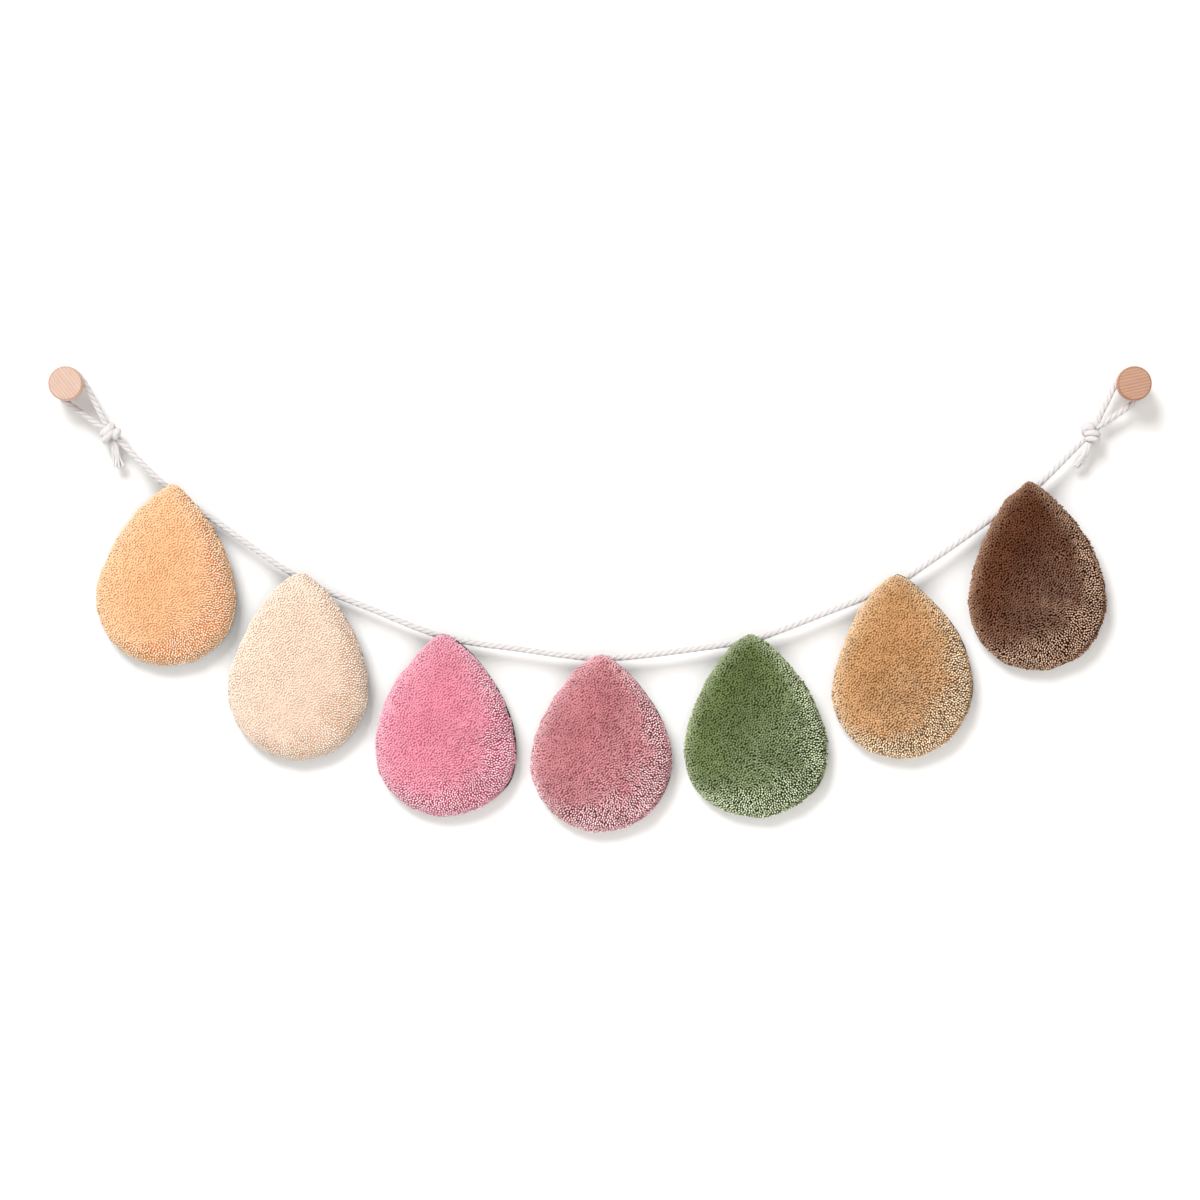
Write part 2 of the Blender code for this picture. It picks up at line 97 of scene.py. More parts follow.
# Knots. Each turn of rope in one is an ellipse: its centre, measured from the knot's, its two half axes
# and the cord's radius, all in mm.
LEFT_KNOT_CENTRE = (37.7, -9.5, -42.4)
LEFT_KNOT_TURNS = (
    ((-3.0, -0.2, 2.6), (3.3, 0.0, 2.9), (0.6, -3.9, -0.6), 3.7),
    ((-0.8, -0.3, -2.6), (3.9, 0.0, 3.9), (-0.4, -4.2, 0.4), 3.3),
    ((5.0, -1.4, -0.9), (1.2, -0.4, 2.5), (0.5, -3.0, -0.2), 3.0),
)
RIGHT_KNOT_CENTRE = (891.6, -9.5, -42.0)
RIGHT_KNOT_TURNS = (
    ((-2.2, -1.2, 3.2), (2.4, -0.4, -0.4), (0.3, -2.0, 2.0), 4.1),
    ((1.2, -0.4, -1.4), (4.9, 0.0, -0.3), (0.0, -4.5, 0.9), 2.9),
    ((1.6, -0.2, -6.0), (4.0, 0.0, -0.6), (0.0, -4.2, 0.5), 2.8),
)
KNOT_CORE_REACH = (7.6, 5.0, 6.0)
KNOT_TURN_STEPS = 40
KNOT_VALLEY = 0.93

# Where each strand of a frayed tail has drifted to at its end, (right, up) in mm from the tail's end
LEFT_TAIL_ENDS = ((-6.4, 0.6), (-1.4, -1.4), (4.0, 0.9))
RIGHT_TAIL_ENDS = ((-4.6, 0.9), (-2.2, -1.0), (3.4, 2.2))
STRAY_STEPS = 6
STRAY_RADIUS = 0.09 * MM

# A tuft's rings from root to tip: how far up the tuft, how wide, and how near the cut end it counts
TUFT_RINGS = ((0.70, 1.0, 0.15), (0.92, 0.70, 0.85))
TUFT_SIDES = 8

# Settings that go into a node group's inputs of the same names
PILE_SIZES = ("spacing", "ground", "unevenness", "lumps", "fringe", "tilt", "nap", "parting")
ROPE_SIZES = ("radius", "valley", "strands", "lay", "sides")

OUTLINE_POINTS = 120
OUTLINE_STEPS = 8
CLOTH_RINGS = 14
STITCH_STEPS = 12
STITCH_SWEEP = math.radians(112)
EDGE_STEP = 15
WALL_HALF_WIDTH = 2.6
WALL_TOP = 1.6
WALL_GAP = 0.2 * MM
FLOOR_FRONT = -3.4
COVE_RADIUS = 0.25
COVE_STEPS = 8
SENSOR_WIDTH = 36


def a_size(name, description, default):
    return bpy.props.FloatProperty(
        name=name, description=description, default=default, unit="LENGTH", precision=5
    )


def a_share(name, description, default):
    return bpy.props.FloatProperty(
        name=name, description=description, default=default, min=0.0, max=1.0, subtype="FACTOR"
    )


def an_angle(name, description, degrees):
    return bpy.props.FloatProperty(
        name=name, description=description, default=math.radians(degrees), subtype="ANGLE"
    )


def a_count(name, description, default):
    return bpy.props.IntProperty(name=name, description=description, default=default, min=1)


def a_colour(name, description, default):
    return bpy.props.FloatVectorProperty(
        name=name, description=description, default=default, subtype="COLOR", min=0.0, max=1.0
    )


class GarlandPile(bpy.types.PropertyGroup):
    """The raindrops' cut pile."""

    spacing: a_size("Tuft spacing", "Least distance between two tufts", 1.75 * MM)
    width: a_size("Tuft width", "A tuft's width at its head", 2.15 * MM)
    length: a_size("Tuft length", "How much of a tuft stands above the ground", 5.0 * MM)
    ground: a_size("Ground depth", "How deep the ground lies below the tips", 1.9 * MM)
    unevenness: a_size("Unevenness", "How far tips stand above or below each other", 0.6 * MM)
    lumps: a_size("Lumps", "How far the whole pile rises and sinks", 0.6 * MM)
    fringe: a_size("Fringe", "How far tips stand out past the ground at the rim", 0.8 * MM)
    parting: a_size("Parting", "How far in from the lee edge the tufts part", 32 * MM)
    tilt: an_angle("Tilt", "How far a tuft leans at random", 11)
    nap: a_share("Nap", "How much whole patches of tufts lean together", 0.30)
    seed: a_count("Seed", "Changes where the tufts stand", 7)
    contrast: bpy.props.FloatVectorProperty(
        name="Contrast", description="How rough each raindrop's pile looks, from the first to the last",
        size=7, subtype="NONE", default=(0.23, 0.15, 0.42, 0.58, 0.72, 0.62, 0.72)
    )
    apricot: a_colour("Apricot", "Colour of the first raindrop", (0.975, 0.585, 0.333))
    cream: a_colour("Cream", "Colour of the second raindrop", (0.955, 0.75, 0.61))
    pink: a_colour("Pink", "Colour of the third raindrop", (0.823, 0.314, 0.412))
    rose: a_colour("Rose", "Colour of the fourth raindrop", (0.56, 0.223, 0.251))
    green: a_colour("Green", "Colour of the fifth raindrop", (0.119, 0.165, 0.0530))
    caramel: a_colour("Caramel", "Colour of the sixth raindrop", (0.55, 0.305, 0.135))
    brown: a_colour("Brown", "Colour of the seventh raindrop", (0.104, 0.0318, 0.0118))


class GarlandRope(bpy.types.PropertyGroup):
    """The twisted cotton rope and its knots."""

    radius: a_size("Radius", "From the rope's middle to a strand's crest", 2.7 * MM)
    valley: a_share("Valley", "A groove's radius as a share of the crest's", 0.80)
    strands: a_count("Strands", "Strands twisted together", 3)
    lay: a_size("Lay", "Length of one whole turn of a strand", 19.6 * MM)
    sides: a_count("Sides", "Points round the rope", 18)
    step: a_size("Step", "Distance between rings along the rope", 1.1 * MM)
    yarns: a_count("Yarns", "Yarns in each strand, where a tail frays", 8)
    yarn_radius: a_size("Yarn radius", "Half a yarn's width", 0.80 * MM)
    fibres: a_count("Fibres", "Stray fibres at a frayed end", 26)
    seed: a_count("Seed", "Changes how the tails fray", 4)
    colour: a_colour("Cotton", "Colour of the cotton", (0.75, 0.732, 0.736))
    # Painted light: the tails' cotton is lighter than the rope's, to offset the shade that the knots cast on
    # them.
    lightened_tail_colour: a_colour("Loose cotton", "Colour where the tails fray", (0.79, 0.77, 0.765))


class GarlandBacking(bpy.types.PropertyGroup):
    """The raindrops' backing cloths, and the stitches that hold the rope to them."""

    thickness: a_size("Thickness", "The cloth's thickness", 1.5 * MM)
    thread_pitch: a_size("Thread pitch", "Distance between two threads of the weave", 1.1 * MM)
    sway: a_size("Sway", "How far the cloth's edge wanders", 0.25 * MM)
    stitch_spacing: a_size("Stitch spacing", "Distance between stitches on the rope", 4.5 * MM)
    stitch_radius: a_size("Stitch radius", "Half the sewing thread's width", 0.4 * MM)
    colour: a_colour("Cloth", "Colour of the cloth", (0.045, 0.046, 0.05))
    thread_colour: a_colour("Thread", "Colour of the sewing thread", (0.75, 0.73, 0.70))


class GarlandPegs(bpy.types.PropertyGroup):
    """The two turned pegs."""

    head_thickness: a_size("Head thickness", "The disc head's thickness", 9 * MM)
    stem_radius: a_size("Stem radius", "The stem's radius", 8 * MM)
    edge_radius: a_size("Edge radius", "Rounding of the head's edges", 1.2 * MM)
    steps: a_count("Steps", "Sides of a peg", 96)
    left_grain: an_angle("Left grain", "Slope of the left peg's grain", -52)
    right_grain: an_angle("Right grain", "Slope of the right peg's grain", 12)
    left: a_colour("Left wood", "Colour of the left peg", (0.745, 0.545, 0.448))
    right: a_colour("Right wood", "Colour of the right peg", (0.575, 0.345, 0.246))


class GarlandStage(bpy.types.PropertyGroup):
    """The wall, the floor, the light and the camera."""

    distance: a_size("Camera distance", "From the camera to the wall", 2.8)
    middle_x: a_size("Middle across", "What the camera looks at, to the right", 0.464)
    middle_z: a_size("Middle up", "What the camera looks at, upwards", -0.188)
    picture: a_size("Picture width", "Width of wall that the picture takes in", 1.0497)
    floor: a_size("Floor height", "Height of the floor", -1.05)
    key: bpy.props.FloatProperty(name="Key light", description="Strength of the key light", default=10.7)
    softness: a_size("Softness", "How wide the key light is", 3.0)
    key_x: a_size("Key across", "Where the key light is, to the right", -1.55)
    key_y: a_size("Key out", "Where the key light is, in from the wall", -2.9)
    key_z: a_size("Key up", "Where the key light is, upwards", 3.8)
    sky: bpy.props.FloatProperty(name="Fill light", description="Strength of the fill", default=0.42)
    sky_colour: a_colour("Fill colour", "Colour of the fill", (1.0, 0.94, 0.87))
    wall: a_colour("Wall", "Colour of the wall and floor", (0.975, 0.975, 0.975))


SETTINGS = {
    "garland_pile": GarlandPile,
    "garland_rope": GarlandRope,
    "garland_backing": GarlandBacking,
    "garland_pegs": GarlandPegs,
    "garland_stage": GarlandStage,
}


def in_metres(points):
    return [Vector(point) * MM for point in points]


def curve_between(before, start, end, after, steps):
    """Points from the start up to the end, on the smooth curve through all four."""
    points = []
    for step in range(steps):
        t = step / steps
        bend = (2 * before - 5 * start + 4 * end - after) * t * t
        twist = (3 * start - before - 3 * end + after) * t**3
        points.append((2 * start + (end - before) * t + bend + twist) / 2)
    return points


def smooth_route(route, spacing):
    """Points evenly spaced along one smooth curve through the route, which is in mm."""
    controls = in_metres(route)
    ends = [2 * controls[0] - controls[1], *controls, 2 * controls[-1] - controls[-2]]
    dense = []
    for four in zip(ends, ends[1:], ends[2:], ends[3:]):
        dense += curve_between(*four, CURVE_STEPS)
    return even_points(dense + [controls[-1]], spacing)


def rounded_loop(points):
    """The closed outline again, evenly spaced on a smooth curve through its points."""
    dense = []
    for index, start in enumerate(points):
        end, after = (points[(index + ahead) % len(points)] for ahead in (1, 2))
        dense += curve_between(points[index - 1], start, end, after, OUTLINE_STEPS)
    dense.append(dense[0])
    return even_points(dense, line_length(dense) / OUTLINE_POINTS)[:-1]


def even_points(line, spacing):
    """The line's two ends and points between them, as near the spacing as divides it evenly."""
    lengths = [(b - a).length for a, b in zip(line, line[1:])]
    total = sum(lengths)
    count = max(2, round(total / spacing))
    points = [line[0]]
    index = 0
    passed = 0.0
    for number in range(1, count):
        target = total * number / count
        while passed + lengths[index] < target:
            passed += lengths[index]
            index += 1
        points.append(line[index].lerp(line[index + 1], (target - passed) / lengths[index]))
    return points + [line[-1]]


def line_length(points):
    return sum((b - a).length for a, b in zip(points, points[1:]))


def link(obj):
    bpy.context.scene.collection.objects.link(obj)
    return obj


def mesh_object(name, shape, *looks, smooth=True):
    """A new object at the origin from a bmesh, which is used up, with its materials."""
    mesh = bpy.data.meshes.new(name)
    shape.to_mesh(mesh)
    shape.free()
    for look in looks:
        mesh.materials.append(look)
    if smooth:
        mesh.shade_smooth()
    return link(bpy.data.objects.new(name, mesh))


def edge_line(name, points, closed):
    """The points joined by mesh edges."""
    mesh = bpy.data.meshes.new(name)
    count = len(points)
    mesh.from_pydata(points, [(i, (i + 1) % count) for i in range(count if closed else count - 1)], [])
    return link(bpy.data.objects.new(name, mesh))


def curve_object(name, lines, radius=0.0, cyclic=False):
    """Poly splines through the lines of points, with a round bevel where a radius is given."""
    curve = bpy.data.curves.new(name, "CURVE")
    curve.dimensions = "3D"
    curve.bevel_depth = radius
    curve.bevel_resolution = 1
    curve.use_fill_caps = True
    for line in lines:
        spline = curve.splines.new("POLY")
        spline.points.add(len(line) - 1)
        for point, place in zip(spline.points, line):
            point.co = (*place, 1)
        spline.use_cyclic_u = cyclic
    return link(bpy.data.objects.new(name, curve))


def plain_mesh(obj, name):
    """The object as evaluated, as a plain mesh on a new object at the origin. The old object goes."""
    bpy.context.view_layer.update()
    graph = bpy.context.evaluated_depsgraph_get()
    evaluated = obj.evaluated_get(graph)
    mesh = bpy.data.meshes.new_from_object(evaluated, preserve_all_data_layers=True, depsgraph=graph)
    mesh.transform(obj.matrix_world)
    bpy.data.objects.remove(obj)
    mesh.name = name
    return link(bpy.data.objects.new(name, mesh))


def joined(objects, name):
    """One plain mesh of all the objects, which go."""
    shape = bmesh.new()
    looks = []
    for obj in objects:
        slots = {}
        for index, look in enumerate(obj.data.materials):
            if look not in looks:
                looks.append(look)
            slots[index] = looks.index(look)
        first = len(shape.faces)
        shape.from_mesh(obj.data)
        shape.faces.ensure_lookup_table()
        for face in shape.faces[first:]:
            face.material_index = slots.get(face.material_index, 0)
        bpy.data.objects.remove(obj)
    return mesh_object(name, shape, *looks, smooth=False)


def values_for_inputs(settings, names):
    return {name.capitalize(): getattr(settings, name) for name in names}


def with_nodes(obj, group, values, name):
    """Runs a geometry node group on the object, and gives its result as a plain mesh."""
    modifier = obj.modifiers.new(group.name, "NODES")
    modifier.node_group = group
    for item in group.interface.items_tree:
        if item.item_type == "SOCKET" and item.in_out == "INPUT" and item.name in values:
            modifier[item.identifier] = values[item.name]
    return plain_mesh(obj, name)


def dress(obj, slot, *nodes):
    """The finished piece rides on the garland's one body, in place of its CAD nodes."""
    if nodes:
        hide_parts(*nodes)
    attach(obj, "root")


class Wire:
    """A node's output. Arithmetic with it adds math nodes. A vector times a number is a scale node."""

    def __init__(self, nodes, socket):
        self.nodes = nodes
        self.socket = socket

    def __add__(self, other):
        return self.nodes.reckon("ADD", self, other)

    def __sub__(self, other):
        return self.nodes.reckon("SUBTRACT", self, other)

    def __rsub__(self, other):
        return self.nodes.reckon("SUBTRACT", other, self)

    def __mul__(self, other):
        return self.nodes.reckon("MULTIPLY", self, other)

    def __truediv__(self, other):
        return self.nodes.reckon("DIVIDE", self, other)

    def __rtruediv__(self, other):
        return self.nodes.reckon("DIVIDE", other, self)

    def __pow__(self, power):
        return self.nodes.math("POWER", self, power)

    def __abs__(self):
        return self.nodes.math("ABSOLUTE", self)

    def dot(self, other):
        return self.nodes.vector_math("DOT_PRODUCT", self, other, output="Value")

    def length(self):
        return self.nodes.vector_math("LENGTH", self, output="Value")

    def unit(self):
        return self.nodes.vector_math("NORMALIZE", self)

    def between(self, low, high, to_low=0.0, to_high=1.0):
        """The value moved from one range to another, and kept inside it."""
        ranges = {"Value": self, "From Min": low, "From Max": high, "To Min": to_low, "To Max": to_high}
        return self.nodes.out("ShaderNodeMapRange", ranges)


def is_vector(value):
    if isinstance(value, Wire):
        return value.socket.type in ("VECTOR", "RGBA")
    return not isinstance(value, (int, float))


class Nodes:
    """Adds nodes to a node tree. An input's value may be a number, a colour, a socket or a wire."""

    def __init__(self, tree):
        self.tree = tree

    def add(self, kind, inputs=None, **settings):
        node = self.tree.nodes.new(kind)
        for name, value in settings.items():
            setattr(node, name, value)
        for key, value in (inputs or {}).items():
            self.put(node.inputs[key], value)
        return node

    def put(self, socket, value):
        if isinstance(value, Wire):
            value = value.socket
        if isinstance(value, bpy.types.NodeSocket):
            self.tree.links.new(value, socket)
        else:
            socket.default_value = value

    def out(self, kind, inputs=None, output=0, **settings):
        """One output of a new node."""
        return self.outs(kind, inputs, [output], **settings)[0]

    def outs(self, kind, inputs, outputs, **settings):
        """Several outputs of one new node."""
        node = self.add(kind, inputs, **settings)
        return [Wire(self, node.outputs[output]) for output in outputs]

    def math(self, operation, *values):
        return self.out("ShaderNodeMath", dict(enumerate(values)), operation=operation)

    def vector_math(self, operation, *values, output=0):
        return self.out("ShaderNodeVectorMath", dict(enumerate(values)), output, operation=operation)

    def reckon(self, operation, one, other):
        if is_vector(one) and is_vector(other):
            return self.vector_math(operation, one, other)
        if not is_vector(one) and not is_vector(other):
            return self.math(operation, one, other)
        vector, factor = (one, other) if is_vector(one) else (other, one)
        return self.out("ShaderNodeVectorMath", {0: vector, "Scale": factor}, operation="SCALE")

    def mix(self, factor, one, other, blend="MIX"):
        inputs = {0: factor, 6: one, 7: other}
        return self.out("ShaderNodeMix", inputs, 2, data_type="RGBA", blend_type=blend)

    def noise(self, place, scale, detail, output=0, **more):
        return self.out(
            "ShaderNodeTexNoise", {"Vector": place, "Scale": scale, "Detail": detail, **more}, output
        )

    def random(self, low, high, seed):
        kind, first, output = ("FLOAT_VECTOR", 0, 0) if isinstance(low, tuple) else ("FLOAT", 2, 1)
        inputs = {first: low, first + 1: high, "Seed": seed}
        return self.out("FunctionNodeRandomValue", inputs, output, data_type=kind)

    # In materials
    def place(self):
        return self.out("ShaderNodeTexCoord", output="Object")

    def facet(self):
        return self.out("ShaderNodeNewGeometry", output="Normal")

    def kept(self, name, output="Fac"):
        """An attribute that the mesh keeps."""
        return self.out("ShaderNodeAttribute", output=output, attribute_name=name)

    # In geometry
    def moved(self, geometry, **inputs):
        return self.out("GeometryNodeSetPosition", {"Geometry": geometry, **inputs})

    def store(self, geometry, name, value, **settings):
        kind = "FLOAT_VECTOR" if is_vector(value) else "FLOAT"
        inputs = {"Geometry": geometry, "Name": name, "Value": value}
        return self.out("GeometryNodeStoreNamedAttribute", inputs, data_type=kind, **settings)

    def fixed(self, geometry, **values):
        """The geometry, and the values as they are on it before it changes further."""
        node = self.add("GeometryNodeCaptureAttribute", {"Geometry": geometry})
        for name, value in values.items():
            node.capture_items.new("VECTOR" if is_vector(value) else "FLOAT", name)
        for number, value in enumerate(values.values(), 1):
            self.put(node.inputs[number], value)
        return [Wire(self, node.outputs[number]) for number in range(len(values) + 1)]

    def turned(self, primary, secondary, axes):
        inputs = {"Primary Axis": primary, "Secondary Axis": secondary}
        first, second = axes
        return self.out("FunctionNodeAxesToRotation", inputs, primary_axis=first, secondary_axis=second)

    def instances(self, points, pattern, rotation, **more):
        shape = self.out("GeometryNodeObjectInfo", {"Object": pattern}, "Geometry")
        inputs = {"Points": points, "Instance": shape, "Rotation": rotation, **more}
        return self.out("GeometryNodeInstanceOnPoints", inputs)


def new_group(name, inputs):
    """A geometry node group with the named inputs: (nodes, group, the inputs' wires by name)."""
    group = bpy.data.node_groups.new(name, "GeometryNodeTree")
    for label, kind in {"Geometry": "Geometry", **inputs, "Material": "Material"}.items():
        group.interface.new_socket(label, in_out="INPUT", socket_type="NodeSocket" + kind)
    group.interface.new_socket("Geometry", in_out="OUTPUT", socket_type="NodeSocketGeometry")
    nodes = Nodes(group)
    given = {socket.name: Wire(nodes, socket) for socket in nodes.add("NodeGroupInput").outputs}
    return nodes, group, given


def end_group(nodes, given, geometry):
    real = nodes.out("GeometryNodeRealizeInstances", {"Geometry": geometry})
    painted = nodes.out("GeometryNodeSetMaterial", {"Geometry": real, "Material": given["Material"]})
    nodes.add("NodeGroupOutput", {"Geometry": painted})


def new_material(name, finish):
    """A material's nodes, and its shader with the finish set on its own sockets."""
    made = bpy.data.materials.new(name)
    made.use_nodes = True
    shader = made.node_tree.nodes["Principled BSDF"]
    for key, value in {"Metallic": 0.0, **finish}.items():
        shader.inputs[key].default_value = value
    return made, Nodes(made.node_tree), shader


def opaque(colour):
    return (*colour, 1.0)


def dyed(colour, power, strength=1.0, most=1.0):
    """The colour made deeper by a power over 1 or paler by one under it, at the strength."""
    return opaque(min(most, strength * channel**power) for channel in colour)


def paint(nodes, shader, colour, tone):
    """The colour on the shader, lighter or darker by the tone."""
    grey = nodes.out("ShaderNodeCombineColor", {0: tone, 1: tone, 2: tone})
    nodes.put(shader.inputs["Base Color"], nodes.mix(1.0, colour, grey, "MULTIPLY"))


def bump(nodes, shader, height, strength, distance, normal=None):
    made = nodes.add("ShaderNodeBump", {"Height": height, "Strength": strength, "Distance": distance})
    if normal:
        nodes.put(made.inputs["Normal"], normal)
    nodes.put(shader.inputs["Normal"], made.outputs[0])


def pile_material(name, colour, contrast):
    """Cut yarn, a little different each: painted shade in the gaps between tufts and on the edge that faces
    right, a painted highlight on the cut ends where the pile parts, and painted sheen near the edge.
    """
    made, nodes, shader = new_material(name, {
        "Roughness": 0.95, "Specular IOR Level": 0.03, "Sheen Weight": 0.1, "Sheen Roughness": 0.4,
        "Sheen Tint": dyed(colour, 0.5),
    })
    place = nodes.place()
    cut, tuft, parted, inland, turned = map(nodes.kept, ("cut", "tuft", "parted", "inland", "turned"))
    drifts, patches, fibres = (nodes.noise(place, scale, 2.0) for scale in (30.0, 95.0, 2600.0))
    # Painted shade between the tufts: two gap colours, darker and richer than the yarn, the deeper one where
    # the pile parts.
    shallow_gap_shade = dyed(colour, 1.3, 1 - 0.2 * contrast)
    deep_gap_shade = dyed(colour, 1 + 1.3 * (1 - contrast) ** 2, 0.95 - 0.5 * contrast)
    tip_highlight = dyed(colour, 0.46 - 0.28 * contrast**2, 1.08 + 1.3 * contrast**4, most=0.97)
    rim_sheen = dyed(colour, 0.85 - 0.6 * contrast)
    gap_shade = nodes.mix(parted.between(0.3, 1.0), shallow_gap_shade, deep_gap_shade)
    # Painted sheen: the yarn paler within 15 mm of the edge; deeper in colour towards the middle.
    edge = inland.between(15 * MM, 0.0, 0.0, 0.85) ** (1.3 + 1.3 * contrast)
    centre = inland.between(16 * MM, 36 * MM)
    side = nodes.mix(edge, nodes.mix(centre, opaque(colour), dyed(colour, 1.15)), rim_sheen)
    # Painted highlight: the cut ends paler, most where the pile parts on the lee side.
    ends = parted.between(0.0, 1.0, 0.32 * contrast, 1.0) ** 2.2 * cut.between(0.30, 0.75)
    side = nodes.mix(ends, side, tip_highlight)
    # Painted shade: darker yarn in the last few mm of the edge where it faces right, away from the key light.
    lee_edge_shade = turned * inland.between(4 * MM, 1.5 * MM, 0.0, 0.7)
    side = nodes.mix(lee_edge_shade, side, dyed(colour, 1.05, 0.85))
    rim = inland.between(3.5 * MM, 1 * MM, 0.0, 0.6)
    # Painted shade: the gap colour towards each tuft's root, with less of it in the last few mm of the edge.
    yarn = nodes.mix(nodes.math("MAXIMUM", cut.between(0.10, 0.70), rim), gap_shade, side)
    spread = max(0.03, 0.42 * contrast - 0.04)
    each = tuft.between(0.0, 1.0, -spread, spread) * parted.between(0.0, 0.6, 0.45, 1.0)
    broad = drifts.between(0.35, 0.65, 1 - 0.4 * spread, 1 + 0.4 * spread)
    patch = patches.between(0.3, 0.7, 1 - 0.2 * spread, 1 + 0.2 * spread)
    paint(nodes, shader, yarn, (each + 1.0) * broad * patch * fibres.between(0.3, 0.7, 0.94, 1.05))
    softness = parted.between(0.0, 1.0, max(0.0, 1.6 - 2.1 * contrast), max(0.0, 0.9 - 1.9 * contrast))
    softness = softness + inland.between(7 * MM, 0.0, 0.0, 0.6)
    level = inland.between(10 * MM, 0.0, 0.0, max(0.0, 4.0 - 7.0 * contrast))
    outward = nodes.kept("outward", "Vector") + TO_FRONT * 0.5
    soft = nodes.facet() + outward * softness + level * TO_FRONT
    bump(nodes, shader, fibres, 0.5, 0.15 * MM, soft.unit())
    return made


def cotton_material(name, colour):
    """Cotton yarns that run along the rope, with painted shade, greyer and warmer, in the grooves between the
    strands.
    """
    finish = {"Roughness": 0.88, "Specular IOR Level": 0.2, "Sheen Weight": 0.3, "Sheen Roughness": 0.5}
    made, nodes, shader = new_material(name, finish)
    yarn, ridge = nodes.kept("yarn", "Vector"), nodes.kept("ridge")
    lines = nodes.noise(yarn * (1.0, 1.0, 0.12), 2200.0, 2.0)
    fluff = nodes.noise(yarn, 5200.0, 1.0)
    # Painted shade: greyer, warmer cotton where the ridge mask is low, in the grooves between strands.
    groove_shade = opaque(channel * share for channel, share in zip(colour, (0.68, 0.62, 0.59)))
    groove = nodes.mix(ridge.between(0.0, 0.55), groove_shade, opaque(colour))
    paint(nodes, shader, groove, lines.between(0.3, 0.7, 0.86, 1.04))
    bump(nodes, shader, lines + fluff * 0.3, 0.6, 0.22 * MM, (nodes.facet() + TO_FRONT).unit())
    return made


def weave_material(name, colour, pitch):
    """A plain weave: threads across and up that take turns to lie on top."""
    finish = {"Roughness": 0.9, "Specular IOR Level": 0.2, "Sheen Weight": 0.15}
    made, nodes, shader = new_material(name, finish)
    place = nodes.place()
    place = place + nodes.noise(place, 60.0, 1.0, "Color") * (0.6 * MM)
    axes = nodes.outs("ShaderNodeSeparateXYZ", {0: place}, "XZ")
    across, up = (nodes.math("SINE", axis * (math.pi / pitch)) for axis in axes)
    over = nodes.math("GREATER_THAN", across * up, 0.0)
    height = over * abs(across) + (1.0 - over) * abs(up)
    fibres = nodes.noise(place, 3000.0, 2.0)
    # Darker where a thread dips under the other: painted shade between the threads, with random fibre tone.
    tone = height.between(0.1, 0.9, 0.55, 1.15) * fibres.between(0.3, 0.7, 0.8, 1.2)
    paint(nodes, shader, opaque(colour), tone)
    bump(nodes, shader, height + fibres * 0.4, 0.7, 0.25 * MM)
    return made


def wood_material(name, colour, slope, centre, head):
    """Sanded beech seen along the board: fine rings and short dark flecks, and painted shade in a dark ring
    at the head's rounded edge.
    """
    made, nodes, shader = new_material(name, {"Roughness": 0.62, "Specular IOR Level": 0.35})
    from_centre = nodes.place() - centre
    inputs = {"Vector": from_centre, "Angle": slope}
    long = nodes.out("ShaderNodeVectorRotate", inputs, rotation_type="Y_AXIS") * (0.07, 1.0, 1.0)
    bands = nodes.noise(long, 420.0, 3.0, Distortion=0.3)
    broad, flecks = nodes.noise(long, 110.0, 2.0), nodes.noise(long, 1700.0, 1.0)
    inputs = {"Vector": long, "Scale": 118.0, "Distortion": 2.5, "Detail": 2.0, "Detail Scale": 2.0}
    rings = nodes.out("ShaderNodeTexWave", inputs, "Fac", bands_direction="Z")
    # Painted shade: a dark ring at the head's rounded edge, from 1.5 mm inside it.
    from_axis = (from_centre * (1, 0, 1)).length()
    ring = from_axis.between(head - 1.5 * MM, head - 0.8 * MM)
    ring = ring * from_axis.between(head - 0.8 * MM, head - 0.2 * MM, 0.9, 0.35)
    wood = nodes.mix(bands.between(0.35, 0.65), dyed(colour, 1, 0.82), opaque(colour))
    for share, other in (
        (rings.between(0.55, 0.1), dyed(colour, 1.35, 0.9)),
        (broad.between(0.35, 0.7, 0.0, 0.5), dyed(colour, 1, 0.90)),
        (flecks.between(0.62, 0.72, 0.0, 0.55), dyed(colour, 1, 0.50)),
        (ring, dyed(colour, 1.8, 0.8)),
    ):
        wood = nodes.mix(share, wood, other)
    nodes.put(shader.inputs["Base Color"], wood)
    bump(nodes, shader, bands, 0.25, 0.12 * MM)
    return made


def thread_material(name, colour):
    """Plied sewing thread."""
    made, nodes, shader = new_material(name, {"Roughness": 0.8})
    plies = nodes.noise(nodes.place(), 1800.0, 2.0)
    paint(nodes, shader, opaque(colour), plies.between(0.3, 0.7, 0.75, 1.05))
    bump(nodes, shader, plies, 0.5, 0.1 * MM)
    return made


def wall_material(name, colour):
    """Matt paint with a faint tooth. From behind it is clear, so the back of the garland shows."""
    finish = {"Base Color": opaque(colour), "Roughness": 1.0, "Specular IOR Level": 0.0}
    made, nodes, shader = new_material(name, finish)
    bump(nodes, shader, nodes.noise(nodes.place(), 300.0, 2.0), 0.05, 0.2 * MM)
    behind = nodes.out("ShaderNodeNewGeometry", output="Backfacing")
    clear = nodes.out("ShaderNodeBsdfTransparent")
    shown = nodes.out("ShaderNodeMixShader", {0: behind, 1: shader.outputs["BSDF"], 2: clear})
    nodes.put(made.node_tree.nodes["Material Output"].inputs["Surface"], shown)
    return made


